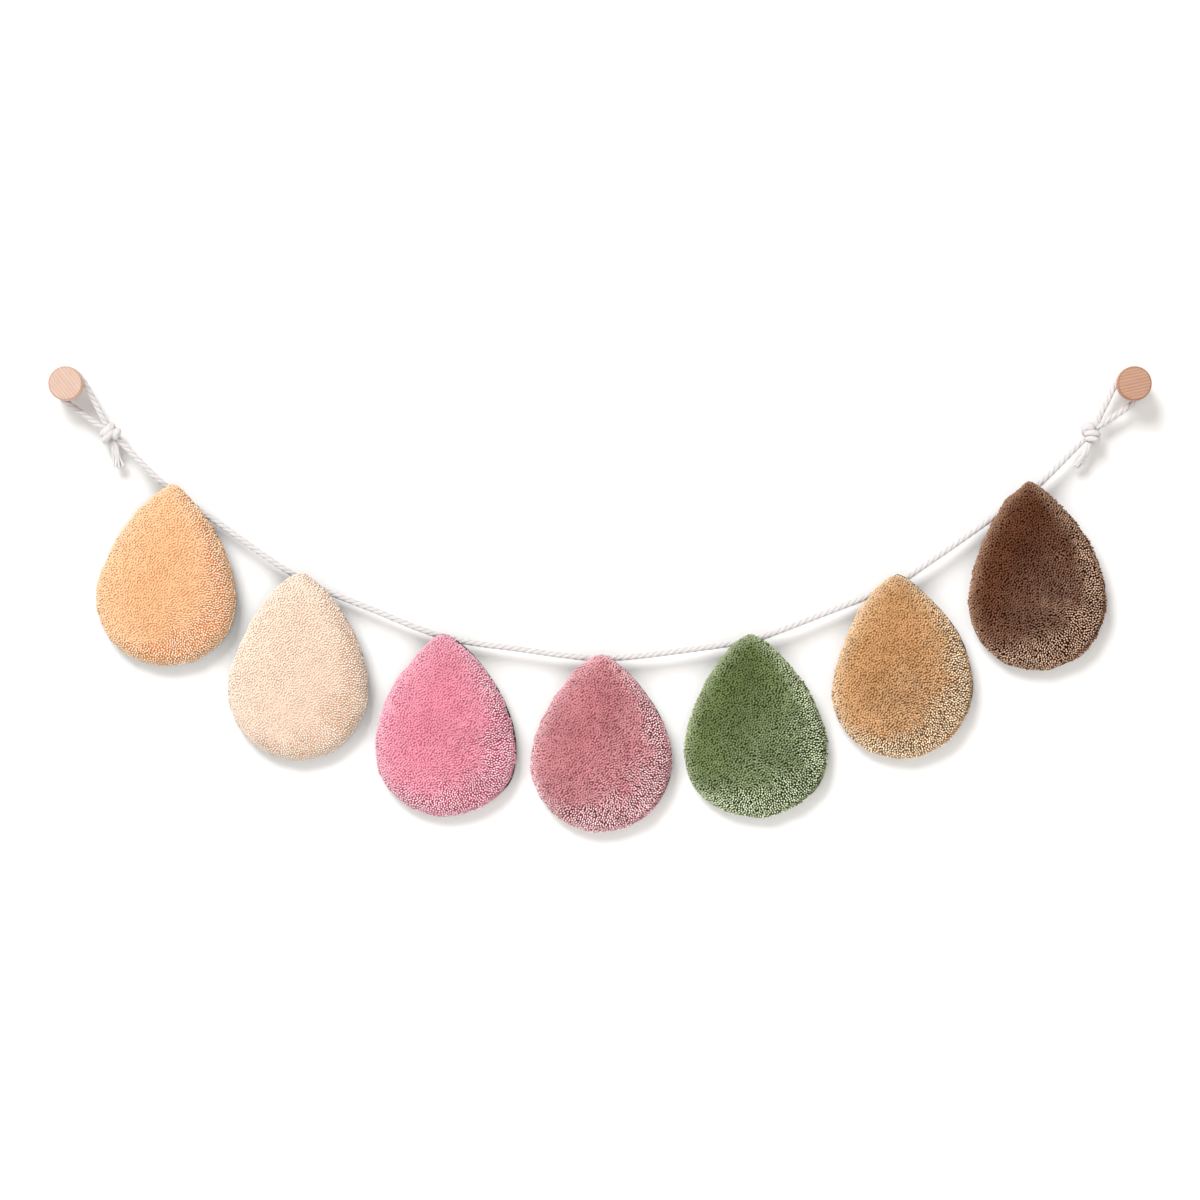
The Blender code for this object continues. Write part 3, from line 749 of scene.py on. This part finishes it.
def rope_group():
    """A curve swept as twisted strands. It keeps how high on a strand each point is, and its yarn."""
    kinds = {"Radius": "Float", "Valley": "Float", "Strands": "Int", "Lay": "Float", "Sides": "Int"}
    nodes, group, given = new_group("Twisted rope", kinds)
    radius, sides, lay = given["Radius"], given["Sides"], given["Lay"]
    long = nodes.out("GeometryNodeSplineParameter", output="Length")
    inputs = {"Curve": given["Geometry"], "Tilt": long / lay * -FULL_TURN}
    line, along = nodes.fixed(nodes.out("GeometryNodeSetCurveTilt", inputs), Along=long)
    circle = nodes.out("GeometryNodeCurvePrimitiveCircle", {"Resolution": sides, "Radius": radius})
    angle = nodes.out("GeometryNodeInputIndex") / sides * FULL_TURN
    crest = abs(nodes.math("COSINE", angle * (given["Strands"] / 2.0))) ** 0.75
    reach = crest.between(0.0, 1.0, given["Valley"], 1.0)
    section = nodes.moved(circle, Position=nodes.out("GeometryNodeInputPosition") * reach)
    profile, crest, angle = nodes.fixed(section, Crest=crest, Angle=angle)
    width = nodes.out("GeometryNodeInputRadius")
    inputs = {"Curve": line, "Profile Curve": profile, "Scale": width, "Fill Caps": True}
    swept = nodes.store(nodes.out("GeometryNodeCurveToMesh", inputs), "ridge", crest)
    lie = angle + along / lay * -FULL_TURN
    across, out = (nodes.math(wave, lie) * radius for wave in ("COSINE", "SINE"))
    yarn = nodes.out("ShaderNodeCombineXYZ", {"X": across, "Y": out, "Z": along})
    swept = nodes.store(swept, "yarn", yarn)
    end_group(nodes, given, nodes.out("GeometryNodeSetShadeSmooth", {"Geometry": swept}))
    return group


def spread_out(nodes, points, spacing):
    """The points pushed away from their nearest neighbours, a few times over, so that they pack evenly."""
    for _ in range(4):
        place = nodes.out("GeometryNodeInputPosition")
        inputs = {"Geometry": points, "Value": place, "Index": nodes.out("GeometryNodeIndexOfNearest")}
        apart = place - nodes.out("GeometryNodeSampleIndex", inputs, data_type="FLOAT_VECTOR")
        short = nodes.math("MAXIMUM", spacing - apart.length(), 0.0)
        points = nodes.moved(points, Offset=apart.unit() * (short * 0.5))
    return points


def pile_group():
    """Tufts all over a raindrop's front and sides, on a ground sunk below their tips."""
    sizes = {size.capitalize(): "Float" for size in PILE_SIZES}
    kinds = {"Tuft": "Object", "Edge": "Object", **sizes, "Relief": "Float", "Seed": "Int"}
    nodes, group, given = new_group("Tufted pile", kinds)
    surface = nodes.out("GeometryNodeSubdivisionSurface", {"Mesh": given["Geometry"], "Level": 1})
    place = nodes.out("GeometryNodeInputPosition")
    normal = nodes.out("GeometryNodeInputNormal", output="Normal")
    facing = normal.dot(TO_FRONT)
    rim = facing.between(1.0, 0.0)
    lumps = nodes.noise(place, 75.0, 2.0) - rim.between(0.0, 1.0, 0.5, 0.4)
    lumps = lumps * (rim + 0.6) * (given["Lumps"] * 5.0)
    surface = nodes.moved(surface, Offset=normal * lumps)

    # How far each place is in from the edge, and how far the tufts part there
    edge = nodes.out("GeometryNodeObjectInfo", {"Object": given["Edge"]}, "Geometry")
    nearest = nodes.out("GeometryNodeProximity", {0: edge}, target_element="EDGES")
    outward = (nearest - place) * (1, 0, 1)
    inland = outward.length()
    low, high = nodes.outs("GeometryNodeBoundBox", {"Geometry": edge}, ("Min", "Max"))
    from_middle = place - (low + high) * 0.5
    away = outward.unit() * nodes.math("SIGN", outward.dot(from_middle))
    lee = away.dot(LEE_SIDE)
    ragged = nodes.noise(place, 90.0, 2.0).between(0.3, 0.7, 0.7, 1.3)
    reach = lee.between(-0.6, 0.9, 0.02, 1.0) * given["Parting"] * ragged
    parted = (inland / reach).between(1.0, 0.35) * lee.between(-0.75, 0.7)
    across = (from_middle / (high - low)).dot(LEE_SIDE)
    parted = nodes.math("MINIMUM", parted + across.between(-0.25, 0.35, 0.0, 0.5) * ragged, 1.0)
    # Where the parted edge faces right, away from the key light; the material paints shade there.
    turned = parted * away.dot((1, 0, 0)).between(0.4, 0.9)
    rim = rim * facing.between(-0.2, 0.15)
    marks = {"parted": parted, "inland": inland, "rim": rim, "turned": turned}
    for name, value in marks.items():
        surface = nodes.store(surface, name, value)
    tufted = nodes.math("GREATER_THAN", facing, -0.2)

    def relief_at(parted):
        return parted.between(0.0, 1.0, 0.35, 1.0) * given["Relief"]

    sunk = given["Ground"] * relief_at(parted).between(0.0, 1.0, -0.35, -1.0)
    ground = nodes.moved(surface, Selection=tufted, Offset=normal * sunk)

    # The tufts' places, and which way they grow
    spacing = given["Spacing"]
    inputs = {"Mesh": surface, "Selection": tufted, "Distance Min": spacing, "Seed": given["Seed"]}
    inputs["Density Max"] = 12.0 / (spacing * spacing)
    points, upright = nodes.outs(
        "GeometryNodeDistributePointsOnFaces", inputs, ("Points", "Normal"), distribute_method="POISSON"
    )
    parted, rim = (
        nodes.out("GeometryNodeInputNamedAttribute", {"Name": name}, data_type="FLOAT")
        for name in ("parted", "rim")
    )
    nap = (nodes.noise(place, 34.0, 1.0, "Color") - (0.5, 0.5, 0.5)) * (given["Nap"] * 4.0)
    growth = upright + TO_FRONT * 0.45 + nap + parted * 0.3 * LEE_SIDE + away * (parted * 0.9)
    along = parted.between(0.2, 0.7, 1.0, 0.0) * (0.6, 0, 0.8) + away * parted
    points, growth, upright, along = nodes.fixed(points, Growth=growth.unit(), Upright=upright, Along=along)
    points = spread_out(nodes, points, spacing * 1.25)
    relief = relief_at(parted)
    pits = nodes.math("LESS_THAN", nodes.random(0.0, 1.0, 6), 0.005)
    uneven = (nodes.random(-1.0, 0.7, 1) - pits * 3.0) * (given["Unevenness"] * relief)
    points = nodes.moved(points, Offset=upright * (uneven + rim * given["Fringe"] * relief))

    # Each tuft's lean and size
    tilt = given["Tilt"] * (parted + 0.5)
    most = nodes.out("ShaderNodeCombineXYZ", {"X": tilt, "Y": tilt, "Z": 0.6})
    lean = nodes.random((-1.0, -1.0, -1.0), (1.0, 1.0, 1.0), 2) * most
    inputs = {
        "Rotation": nodes.turned(growth, along, "ZX"),
        "Rotate By": nodes.out("FunctionNodeEulerToRotation", {0: lean}),
    }
    rotation = nodes.out("FunctionNodeRotateRotation", inputs, rotation_space="LOCAL")
    wide = nodes.random(0.88, 1.12, 3) * parted.between(0.30, 1.0, 1.20, 0.98)
    tall = nodes.random(0.9, 1.1, 4) * relief.between(0.0, 1.0, 0.25, 1.0)
    oval = parted.between(0.0, 1.0, 1.10, 1.27)
    size = nodes.out("ShaderNodeCombineXYZ", {"X": wide * oval, "Y": wide / oval, "Z": tall})
    tufts = nodes.instances(points, given["Tuft"], rotation, Scale=size)
    tufts = nodes.store(tufts, "tuft", nodes.random(0.0, 1.0, 5), domain="INSTANCE")
    tufts = nodes.store(tufts, "outward", upright, domain="INSTANCE")
    real = nodes.out("GeometryNodeRealizeInstances", {"Geometry": tufts})
    whole = nodes.add("GeometryNodeJoinGeometry", {"Geometry": real})
    nodes.put(whole.inputs[0], ground)
    end_group(nodes, given, nodes.out("GeometryNodeSetShadeSmooth", {"Geometry": whole.outputs[0]}))
    return group


def stitch_group():
    """Whip stitches over a stretch of rope, one at each spacing."""
    nodes, group, given = new_group("Whip stitches", {"Stitch": "Object", "Spacing": "Float"})
    inputs = {"Curve": given["Geometry"], "Length": given["Spacing"]}
    spaced = nodes.out("GeometryNodeResampleCurve", inputs, mode="LENGTH")
    rotation = nodes.turned(nodes.out("GeometryNodeInputTangent"), TO_WALL, "XY")
    end_group(nodes, given, nodes.instances(spaced, given["Stitch"], rotation))
    return group


def tuft_pattern(settings):
    """One cut yarn, closed, its tip at the origin. Its cut attribute is 1 at the cut end and 0 below."""
    shape = bmesh.new()
    cut = shape.verts.layers.float.new("cut")
    chance = random.Random(11)

    def corner(place, share):
        made = shape.verts.new(place)
        made[cut] = share
        return made

    root = corner((0, 0, -settings.length), 0.0)
    rings = []
    for up, wide, share in TUFT_RINGS:
        ring = []
        for side in range(TUFT_SIDES):
            angle = FULL_TURN * side / TUFT_SIDES
            radius = wide * settings.width / 2 * chance.uniform(0.88, 1.12)
            sunk = (up - 1) * settings.length * chance.uniform(0.85, 1.1)
            ring.append(corner((radius * math.cos(angle), radius * math.sin(angle), sunk), share))
        rings.append(ring)
    tip = corner((0, 0, 0), 1.0)
    for side in range(TUFT_SIDES):
        beside = (side + 1) % TUFT_SIDES
        shape.faces.new((root, rings[0][beside], rings[0][side]))
        for low, high in zip(rings, rings[1:]):
            shape.faces.new((low[side], low[beside], high[beside], high[side]))
        shape.faces.new((rings[-1][side], rings[-1][beside], tip))
    return mesh_object("tuft_pattern", shape)


def stitch_pattern(settings, rope_radius):
    """One stitch over the rope: X runs along the rope and Y towards the wall."""
    over = rope_radius + settings.stitch_radius
    line = []
    for step in range(STITCH_STEPS + 1):
        share = 2 * step / STITCH_STEPS - 1
        angle = share * STITCH_SWEEP
        line.append(Vector((share * 1.4 * MM, over * math.cos(angle), over * math.sin(angle))))
    first, last = (
        line[end] + Vector((side * 0.3 * MM, -2.2 * MM, -side * 0.4 * MM)) for end, side in ((0, -1), (-1, 1))
    )
    return curve_object("stitch_pattern", [[first, *line, last]], settings.stitch_radius)


def rope_mesh(name, points, look, group, cyclic=False, **changed):
    """A length of twisted rope along the points. Radius, Lay or Valley may be changed from the settings."""
    settings = bpy.context.scene.garland_rope
    guide = curve_object(name + "_line", [points], cyclic=cyclic)
    values = {**values_for_inputs(settings, ROPE_SIZES), "Material": look, **changed}
    return with_nodes(guide, group, values, name)


def knot_turn(name, centre, one_reach, other_reach, radius, look, group):
    """One closed turn of rope. Its lay is shortened or lengthened so that the strands meet."""
    settings = bpy.context.scene.garland_rope
    points = []
    for step in range(KNOT_TURN_STEPS):
        angle = FULL_TURN * step / KNOT_TURN_STEPS
        points.append(centre + one_reach * math.cos(angle) + other_reach * math.sin(angle))
    around = line_length(points + points[:1])
    thirds = max(1, round(around / settings.lay * settings.strands))
    lay = around * settings.strands / thirds
    turn = rope_mesh(name, points, look, group, cyclic=True, Radius=radius, Lay=lay, Valley=KNOT_VALLEY)
    # The ridge mask lifted, so that the painted groove shade is fainter on a knot's turns.
    for height in turn.data.attributes["ridge"].data:
        height.value = 0.4 + 0.6 * height.value
    return turn


def make_knot(name, centre, turns, ends, look, group):
    """A knot: its turns of rope, the ends that pass into it, and the packed middle that they hide."""
    settings = bpy.context.scene.garland_rope
    centre, core_reach = in_metres([centre, KNOT_CORE_REACH])
    pieces = []
    for number, (*places, radius) in enumerate(turns):
        middle, one, other = in_metres(places)
        part = f"{name}_turn_{number}"
        pieces.append(knot_turn(part, centre + middle, one, other, radius * MM, look, group))
    for number, (outer, inner) in enumerate(ends):
        line = even_points([inner, outer, outer.lerp(centre, 0.85)], settings.step)
        pieces.append(rope_mesh(f"{name}_end_{number}", line[1:], look, group, Radius=settings.radius * 0.97))
    shape = bmesh.new()
    bmesh.ops.create_icosphere(shape, subdivisions=3, radius=1.0)
    size = Matrix.Diagonal((*core_reach, 1))
    bmesh.ops.transform(shape, matrix=Matrix.Translation(centre) @ size, verts=shape.verts)
    return joined(pieces + [mesh_object(name + "_core", shape, look)], name)


def frayed_tail(name, route, ends, fan, look, seed):
    """A cut end. Its strands come untwisted into yarns, which lie in bunches or, at a fan of 1, evenly."""
    settings = bpy.context.scene.garland_rope
    chance = random.Random(seed)
    line = smooth_route(route, settings.step)
    whole = line_length(line)
    drift = [Vector((right, 0, up)) * MM for right, up in ends]
    strand_radius = settings.radius * 0.50
    still = 0.25 * (1 - fan)
    yarns = []
    last = len(drift) * settings.yarns - 1
    for strand, bunch in enumerate(drift):
        for number in range(settings.yarns):
            across_ends = (strand * settings.yarns + number) / last * (len(drift) - 1)
            before = min(int(across_ends), len(drift) - 2)
            away = bunch.lerp(drift[before].lerp(drift[before + 1], across_ends - before), fan)
            around = FULL_TURN * number / settings.yarns
            swing = Vector((chance.uniform(-1, 1), chance.uniform(-0.8, 0.8), chance.uniform(-0.8, 0.8)))
            cut = chance.uniform(0.95, 1.0)
            points = []
            for index, centre in enumerate(line):
                share = index / (len(line) - 1)
                if share > cut:
                    break
                along = (line[min(index + 1, len(line) - 1)] - line[max(index - 1, 0)]).normalized()
                across = along.cross(TO_FRONT).normalized()
                out = across.cross(along)
                opened = max(0.0, (share - still) / (1 - still)) ** (1.7 - 0.5 * fan)
                turned = FULL_TURN * (strand / 3 + 0.4 * share * whole / settings.lay)
                spun = around - turned
                middle = (across * math.cos(turned) + out * math.sin(turned) * 0.6) * strand_radius
                bundle = (across * math.cos(spun) + out * math.sin(spun) * 0.6) * 1.05 * MM
                point = centre + middle * (1 - 0.3 * opened) + bundle * (1 + 0.5 * opened)
                points.append(point + (away + swing * 0.7 * MM) * opened)
            yarns.append(points)

    def stray():
        start = line[-1].lerp(line[len(line) // 2], chance.uniform(0.0, 0.9))
        reach = Vector((chance.uniform(-7, 6), chance.uniform(-2, 2), chance.uniform(-3.5, 2.5))) * MM
        curl = Vector((chance.uniform(-2, 2), chance.uniform(-1, 1), chance.uniform(-2, 2))) * MM
        shares = [step / STRAY_STEPS for step in range(STRAY_STEPS + 1)]
        return [start + reach * share + curl * math.sin(math.pi * share) for share in shares]

    strays = [stray() for _ in range(settings.fibres)]
    pieces = []
    for part, lines, radius in (("_yarns", yarns, settings.yarn_radius), ("_fibres", strays, STRAY_RADIUS)):
        piece = plain_mesh(curve_object(name + part, lines, radius), name + part)
        mesh = piece.data
        mesh.materials.clear()
        mesh.materials.append(look)
        mesh.shade_smooth()
        places = [number for corner in mesh.vertices for number in corner.co]
        # A ridge of 1 all over, so that the tails get no painted groove shade.
        ridge = mesh.attributes.new("ridge", "FLOAT", "POINT")
        ridge.data.foreach_set("value", [1.0] * len(mesh.vertices))
        mesh.attributes.new("yarn", "FLOAT_VECTOR", "POINT").data.foreach_set("vector", places)
        pieces.append(piece)
    return joined(pieces, name)


def merged_copy(node):
    """The CAD node's solid with its corners merged, as a bmesh."""
    shape = bmesh.new()
    shape.from_mesh(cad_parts[node].data)
    bmesh.ops.remove_doubles(shape, verts=shape.verts, dist=MERGE_DISTANCE)
    return shape


def make_pile(colour, group, tuft, number):
    settings = bpy.context.scene.garland_pile
    contrast = settings.contrast[number]
    body = mesh_object("pile_body", merged_copy("pile_" + colour))
    edge = edge_line("edge_line", rounded_loop(cloth_outline("backing_" + colour)[0]), closed=True)
    values = values_for_inputs(settings, PILE_SIZES)
    values["Tuft"] = tuft
    values["Edge"] = edge
    values["Relief"] = min(1.0, 0.25 + 1.05 * contrast)
    values["Seed"] = settings.seed + number
    values["Material"] = pile_material("cut_pile_" + colour, getattr(settings, colour), contrast)
    pile = with_nodes(body, group, values, "tufts_" + colour)
    bpy.data.objects.remove(edge)
    dress(pile, "pile_" + colour, "pile_" + colour)


def cloth_outline(node):
    """The cloth's outline on its front face, in order, and the way that the front faces."""
    shape = merged_copy(node)
    bmesh.ops.dissolve_limit(
        shape, angle_limit=math.radians(1), verts=shape.verts[:], edges=shape.edges[:]
    )
    front = max(shape.faces, key=lambda face: face.normal.dot(TO_FRONT) * face.calc_area())
    outline = [corner.co.copy() for corner in front.verts]
    facing = front.normal.copy()
    shape.free()
    return outline, facing


def make_backing(colour, look):
    """The backing cloth, cut by hand: its edge wanders a little, and it isn't quite flat."""
    settings = bpy.context.scene.garland_backing
    outline, facing = cloth_outline("backing_" + colour)
    loop = rounded_loop(outline)
    middle = sum(loop, Vector()) / len(loop)
    shape = bmesh.new()
    grid = []
    for ring in range(1, CLOTH_RINGS + 1):
        out = ring / CLOTH_RINGS
        row = []
        for place in loop:
            point = middle.lerp(place, out)
            wander = noise.noise(point * 160) * settings.sway * out**4
            rise = noise.noise(point * 30) * 0.25 * MM * (1 - out)
            row.append(shape.verts.new(point + (place - middle).normalized() * wander - facing * abs(rise)))
        grid.append(row)
    centre = shape.verts.new(middle)
    for index in range(len(loop)):
        beside = (index + 1) % len(loop)
        shape.faces.new((centre, grid[0][index], grid[0][beside]))
        for inner, outer in zip(grid, grid[1:]):
            shape.faces.new((inner[index], outer[index], outer[beside], inner[beside]))
    bmesh.ops.recalc_face_normals(shape, faces=shape.faces)
    if centre.normal.dot(facing) < 0:
        bmesh.ops.reverse_faces(shape, faces=shape.faces)
    area = sum(face.calc_area() for face in shape.faces)
    cloth = mesh_object("cloth_" + colour, shape, look)
    solid = cloth.modifiers.new("thickness", "SOLIDIFY")
    solid.thickness = settings.thickness
    solid.offset = -1.0
    cloth = plain_mesh(cloth, "cloth_" + colour)
    dress(cloth, "backing_cloth", "backing_" + colour)
    return loop


def inside(loop, point, margin):
    """Whether the point lies within the outline as seen from the front, at least the margin from it."""
    within = False
    for a, b in zip(loop, loop[1:] + loop[:1]):
        if (a.z > point.z) != (b.z > point.z):
            if point.x < a.x + (point.z - a.z) / (b.z - a.z) * (b.x - a.x):
                within = not within
    return within and min((place.xz - point.xz).length for place in loop) > margin


def make_stitches(loops):
    """Whip stitches that hold the rope to each backing, where it passes behind."""
    settings = bpy.context.scene.garland_backing
    look = thread_material("sewing_thread", settings.thread_colour)
    group = stitch_group()
    pattern = stitch_pattern(settings, bpy.context.scene.garland_rope.radius)
    values = {"Stitch": pattern, "Spacing": settings.stitch_spacing, "Material": look}
    line = smooth_route(RUN_ROUTE, 1 * MM)
    pieces = []
    for colour, loop in loops.items():
        stretch = [point for point in line if inside(loop, point, 2 * MM)]
        if len(stretch) < 4:
            raise RuntimeError(f"the rope doesn't pass behind the {colour} raindrop")
        guide = curve_object("stretch_" + colour, [stretch])
        pieces.append(with_nodes(guide, group, values, "stitches_" + colour))
    bpy.data.objects.remove(pattern)
    whole = joined(pieces, "whip_stitches")
    whole.data.shade_smooth()
    dress(whole, "cotton_rope")


def make_peg(node, slot, colour, slope):
    """A peg turned about its own axis, its sizes from the CAD node and the peg settings."""
    settings = bpy.context.scene.garland_pegs
    low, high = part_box(node)
    centre = Vector(((low.x + high.x) / 2, high.y, (low.z + high.z) / 2))
    head, length = (high.x - low.x) / 2, high.y - low.y
    edge, stem = settings.edge_radius, settings.stem_radius
    shoulder = length - settings.head_thickness
    profile = [Vector((0, 0, length)), Vector((head * 0.5, 0, length))]
    for up, first in ((length - edge, 90), (shoulder + edge, 0)):
        for angle in range(first, first - 91, -EDGE_STEP):
            turn = Vector((math.cos(math.radians(angle)), 0, math.sin(math.radians(angle)))) * edge
            profile.append(Vector((head - edge, 0, up)) + turn)
    chamfer = 0.4 * MM
    for across, up in ((stem, shoulder), (stem, chamfer), (stem - chamfer, 0), (0, 0)):
        profile.append(Vector((across, 0, up)))
    peg = edge_line("turned_" + node, profile, closed=False)
    peg.data.materials.append(wood_material(f"beech_{node}", colour, slope, centre, head))
    turning = peg.modifiers.new("turning", "SCREW")
    turning.axis = "Z"
    turning.steps = turning.render_steps = settings.steps
    turning.use_merge_vertices = True
    turning.merge_threshold = MERGE_DISTANCE
    peg.location = centre
    peg.rotation_euler = (math.radians(90), 0, 0)
    peg = plain_mesh(peg, "turned_" + node)
    peg.data.set_sharp_from_angle(angle=math.radians(50))
    dress(peg, slot, node)


def make_backdrop(settings):
    """The wall, the floor and the cove between them, in one sheet that faces the camera."""
    profile = [Vector((0, 0, WALL_TOP)), Vector((0, 0, settings.floor + COVE_RADIUS))]
    for step in range(1, COVE_STEPS + 1):
        angle = math.pi / 2 * step / COVE_STEPS
        bend = Vector((0, math.cos(angle) - 1, 1 - math.sin(angle))) * COVE_RADIUS
        profile.append(Vector((0, 0, settings.floor)) + bend)
    profile.append(Vector((0, FLOOR_FRONT, settings.floor)))
    shape = bmesh.new()
    left, right = (
        [shape.verts.new(Vector((settings.middle_x + side, WALL_GAP, 0)) + point) for point in profile]
        for side in (-WALL_HALF_WIDTH, WALL_HALF_WIDTH)
    )
    for index in range(len(profile) - 1):
        shape.faces.new((left[index], left[index + 1], right[index + 1], right[index]))
    mesh_object("wall_and_floor", shape, wall_material("matt_wall", settings.wall))


class GARLAND_OT_stage(bpy.types.Operator):
    """Sets the wall, the floor, the light and the camera"""

    bl_idname = "garland.stage"
    bl_label = "Set the stage"

    def execute(self, context):
        scene, settings = context.scene, context.scene.garland_stage
        make_backdrop(settings)
        scene.world = bpy.data.worlds.new("studio")
        scene.world.use_nodes = True
        fill = scene.world.node_tree.nodes["Background"]
        fill.inputs["Color"].default_value = opaque(settings.sky_colour)
        fill.inputs["Strength"].default_value = settings.sky
        key = bpy.data.lights.new("key_light", "AREA")
        key.shape = "DISK"
        key.size = settings.softness
        key.energy = settings.key
        key.use_nodes = True
        nodes = Nodes(key.node_tree)
        even = nodes.out("ShaderNodeLightFalloff", {"Strength": 1.0}, "Constant")
        nodes.put(key.node_tree.nodes["Emission"].inputs["Strength"], even)
        lamp = link(bpy.data.objects.new("key_light", key))
        lamp.location = (settings.key_x, settings.key_y, settings.key_z)
        aim = Vector((settings.middle_x, 0, settings.middle_z))
        lamp.rotation_euler = (lamp.location - aim).to_track_quat("Z", "Y").to_euler()
        camera = bpy.data.cameras.new("camera")
        camera.sensor_width = SENSOR_WIDTH
        camera.lens = SENSOR_WIDTH * settings.distance / settings.picture
        eye = link(bpy.data.objects.new("camera", camera))
        eye.location = (settings.middle_x, -settings.distance, settings.middle_z)
        eye.rotation_euler = (math.radians(90), 0, 0)
        scene.camera = eye
        scene.view_settings.view_transform = "Standard"
        return {"FINISHED"}


class GARLAND_OT_rope(bpy.types.Operator):
    """Twists the rope: the run, the loops round the pegs, the knots and the frayed tails"""

    bl_idname = "garland.rope"
    bl_label = "Twist the rope"

    def execute(self, context):
        settings = context.scene.garland_rope
        look = cotton_material("twisted_cotton", settings.colour)
        group = rope_group()
        routes = (RUN_ROUTE, LEFT_LOOP_ROUTE, RIGHT_LOOP_ROUTE)
        run, left, right = (smooth_route(route, settings.step) for route in routes)
        left_ends = ((left[0], left[3]), (left[-1], left[-4]), (run[0], run[3]))
        right_ends = ((right[0], right[3]), (right[-1], right[-4]), (run[-1], run[-4]))
        knot_left = make_knot("rope_knot_left", LEFT_KNOT_CENTRE, LEFT_KNOT_TURNS, left_ends, look, group)
        knot_right = make_knot(
            "rope_knot_right", RIGHT_KNOT_CENTRE, RIGHT_KNOT_TURNS, right_ends, look, group
        )
        # The tails get a lighter cotton: painted light against the knots' shade.
        lightened_look = cotton_material("lightened_tail_cotton", settings.lightened_tail_colour)
        seed = settings.seed
        tail_left = frayed_tail("frayed_tail_left", LEFT_TAIL_ROUTE, LEFT_TAIL_ENDS, 1.0, lightened_look, seed)
        tail_right = frayed_tail("frayed_tail_right", RIGHT_TAIL_ROUTE, RIGHT_TAIL_ENDS, 0.0, lightened_look, seed + 1)
        dress(knot_left, "cotton_rope", "knot_left")
        dress(knot_right, "cotton_rope", "knot_right")
        dress(tail_left, "cotton_rope", "rope_tail_left")
        dress(tail_right, "cotton_rope", "rope_tail_right")
        for node, line, far_end, lay, pieces in (
            ("rope_run", run, "knot", "hanging", [knot_right, tail_right]),
            ("rope_loop_left", left, "object", "taut", [knot_left, tail_left]),
            ("rope_loop_right", right, "object", "taut", []),
        ):
            rope = rope_mesh("twisted_" + node, line, look, group)
            dress(rope, "cotton_rope", node)
            line_length(line)
        return {"FINISHED"}


class GARLAND_OT_piles(bpy.types.Operator):
    """Tufts the seven raindrops"""

    bl_idname = "garland.piles"
    bl_label = "Tuft the raindrops"

    def execute(self, context):
        group = pile_group()
        tuft = tuft_pattern(context.scene.garland_pile)
        for number, colour in enumerate(COLOURS):
            make_pile(colour, group, tuft, number)
        bpy.data.objects.remove(tuft)
        return {"FINISHED"}


class GARLAND_OT_backings(bpy.types.Operator):
    """Cuts the backing cloths and whips the rope to them"""

    bl_idname = "garland.backings"
    bl_label = "Back the raindrops"

    def execute(self, context):
        settings = context.scene.garland_backing
        look = weave_material("dark_backing", settings.colour, settings.thread_pitch)
        make_stitches({colour: make_backing(colour, look) for colour in COLOURS})
        return {"FINISHED"}


class GARLAND_OT_pegs(bpy.types.Operator):
    """Turns the two beech pegs"""

    bl_idname = "garland.pegs"
    bl_label = "Turn the pegs"

    def execute(self, context):
        settings = context.scene.garland_pegs
        make_peg("peg_left", "pale_beech", settings.left, settings.left_grain)
        make_peg("peg_right", "brown_beech", settings.right, settings.right_grain)
        return {"FINISHED"}


class GARLAND_PT_steps(bpy.types.Panel):
    """Lists the garland's steps in their order"""

    bl_idname = "GARLAND_PT_steps"
    bl_label = "Raindrop garland"
    bl_space_type = "VIEW_3D"
    bl_region_type = "UI"
    bl_category = "Garland"

    def draw(self, context):
        for step in STEPS:
            self.layout.operator(step.bl_idname)
        for name, group in SETTINGS.items():
            box = self.layout.box()
            box.label(text=group.__doc__)
            for key in group.__annotations__:
                box.prop(getattr(context.scene, name), key)


STEPS = (GARLAND_OT_stage, GARLAND_OT_rope, GARLAND_OT_piles, GARLAND_OT_backings, GARLAND_OT_pegs)
CLASSES = (*SETTINGS.values(), *STEPS, GARLAND_PT_steps)


def register():
    for kind in CLASSES:
        bpy.utils.register_class(kind)
    for name, group in SETTINGS.items():
        setattr(bpy.types.Scene, name, bpy.props.PointerProperty(type=group))


def unregister():
    for name in SETTINGS:
        delattr(bpy.types.Scene, name)
    for kind in reversed(CLASSES):
        bpy.utils.unregister_class(kind)


def main():
    register()
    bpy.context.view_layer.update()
    bpy.ops.garland.stage()
    bpy.ops.garland.rope()
    bpy.ops.garland.piles()
    bpy.ops.garland.backings()
    bpy.ops.garland.pegs()


if __name__ == "__main__":
    main()
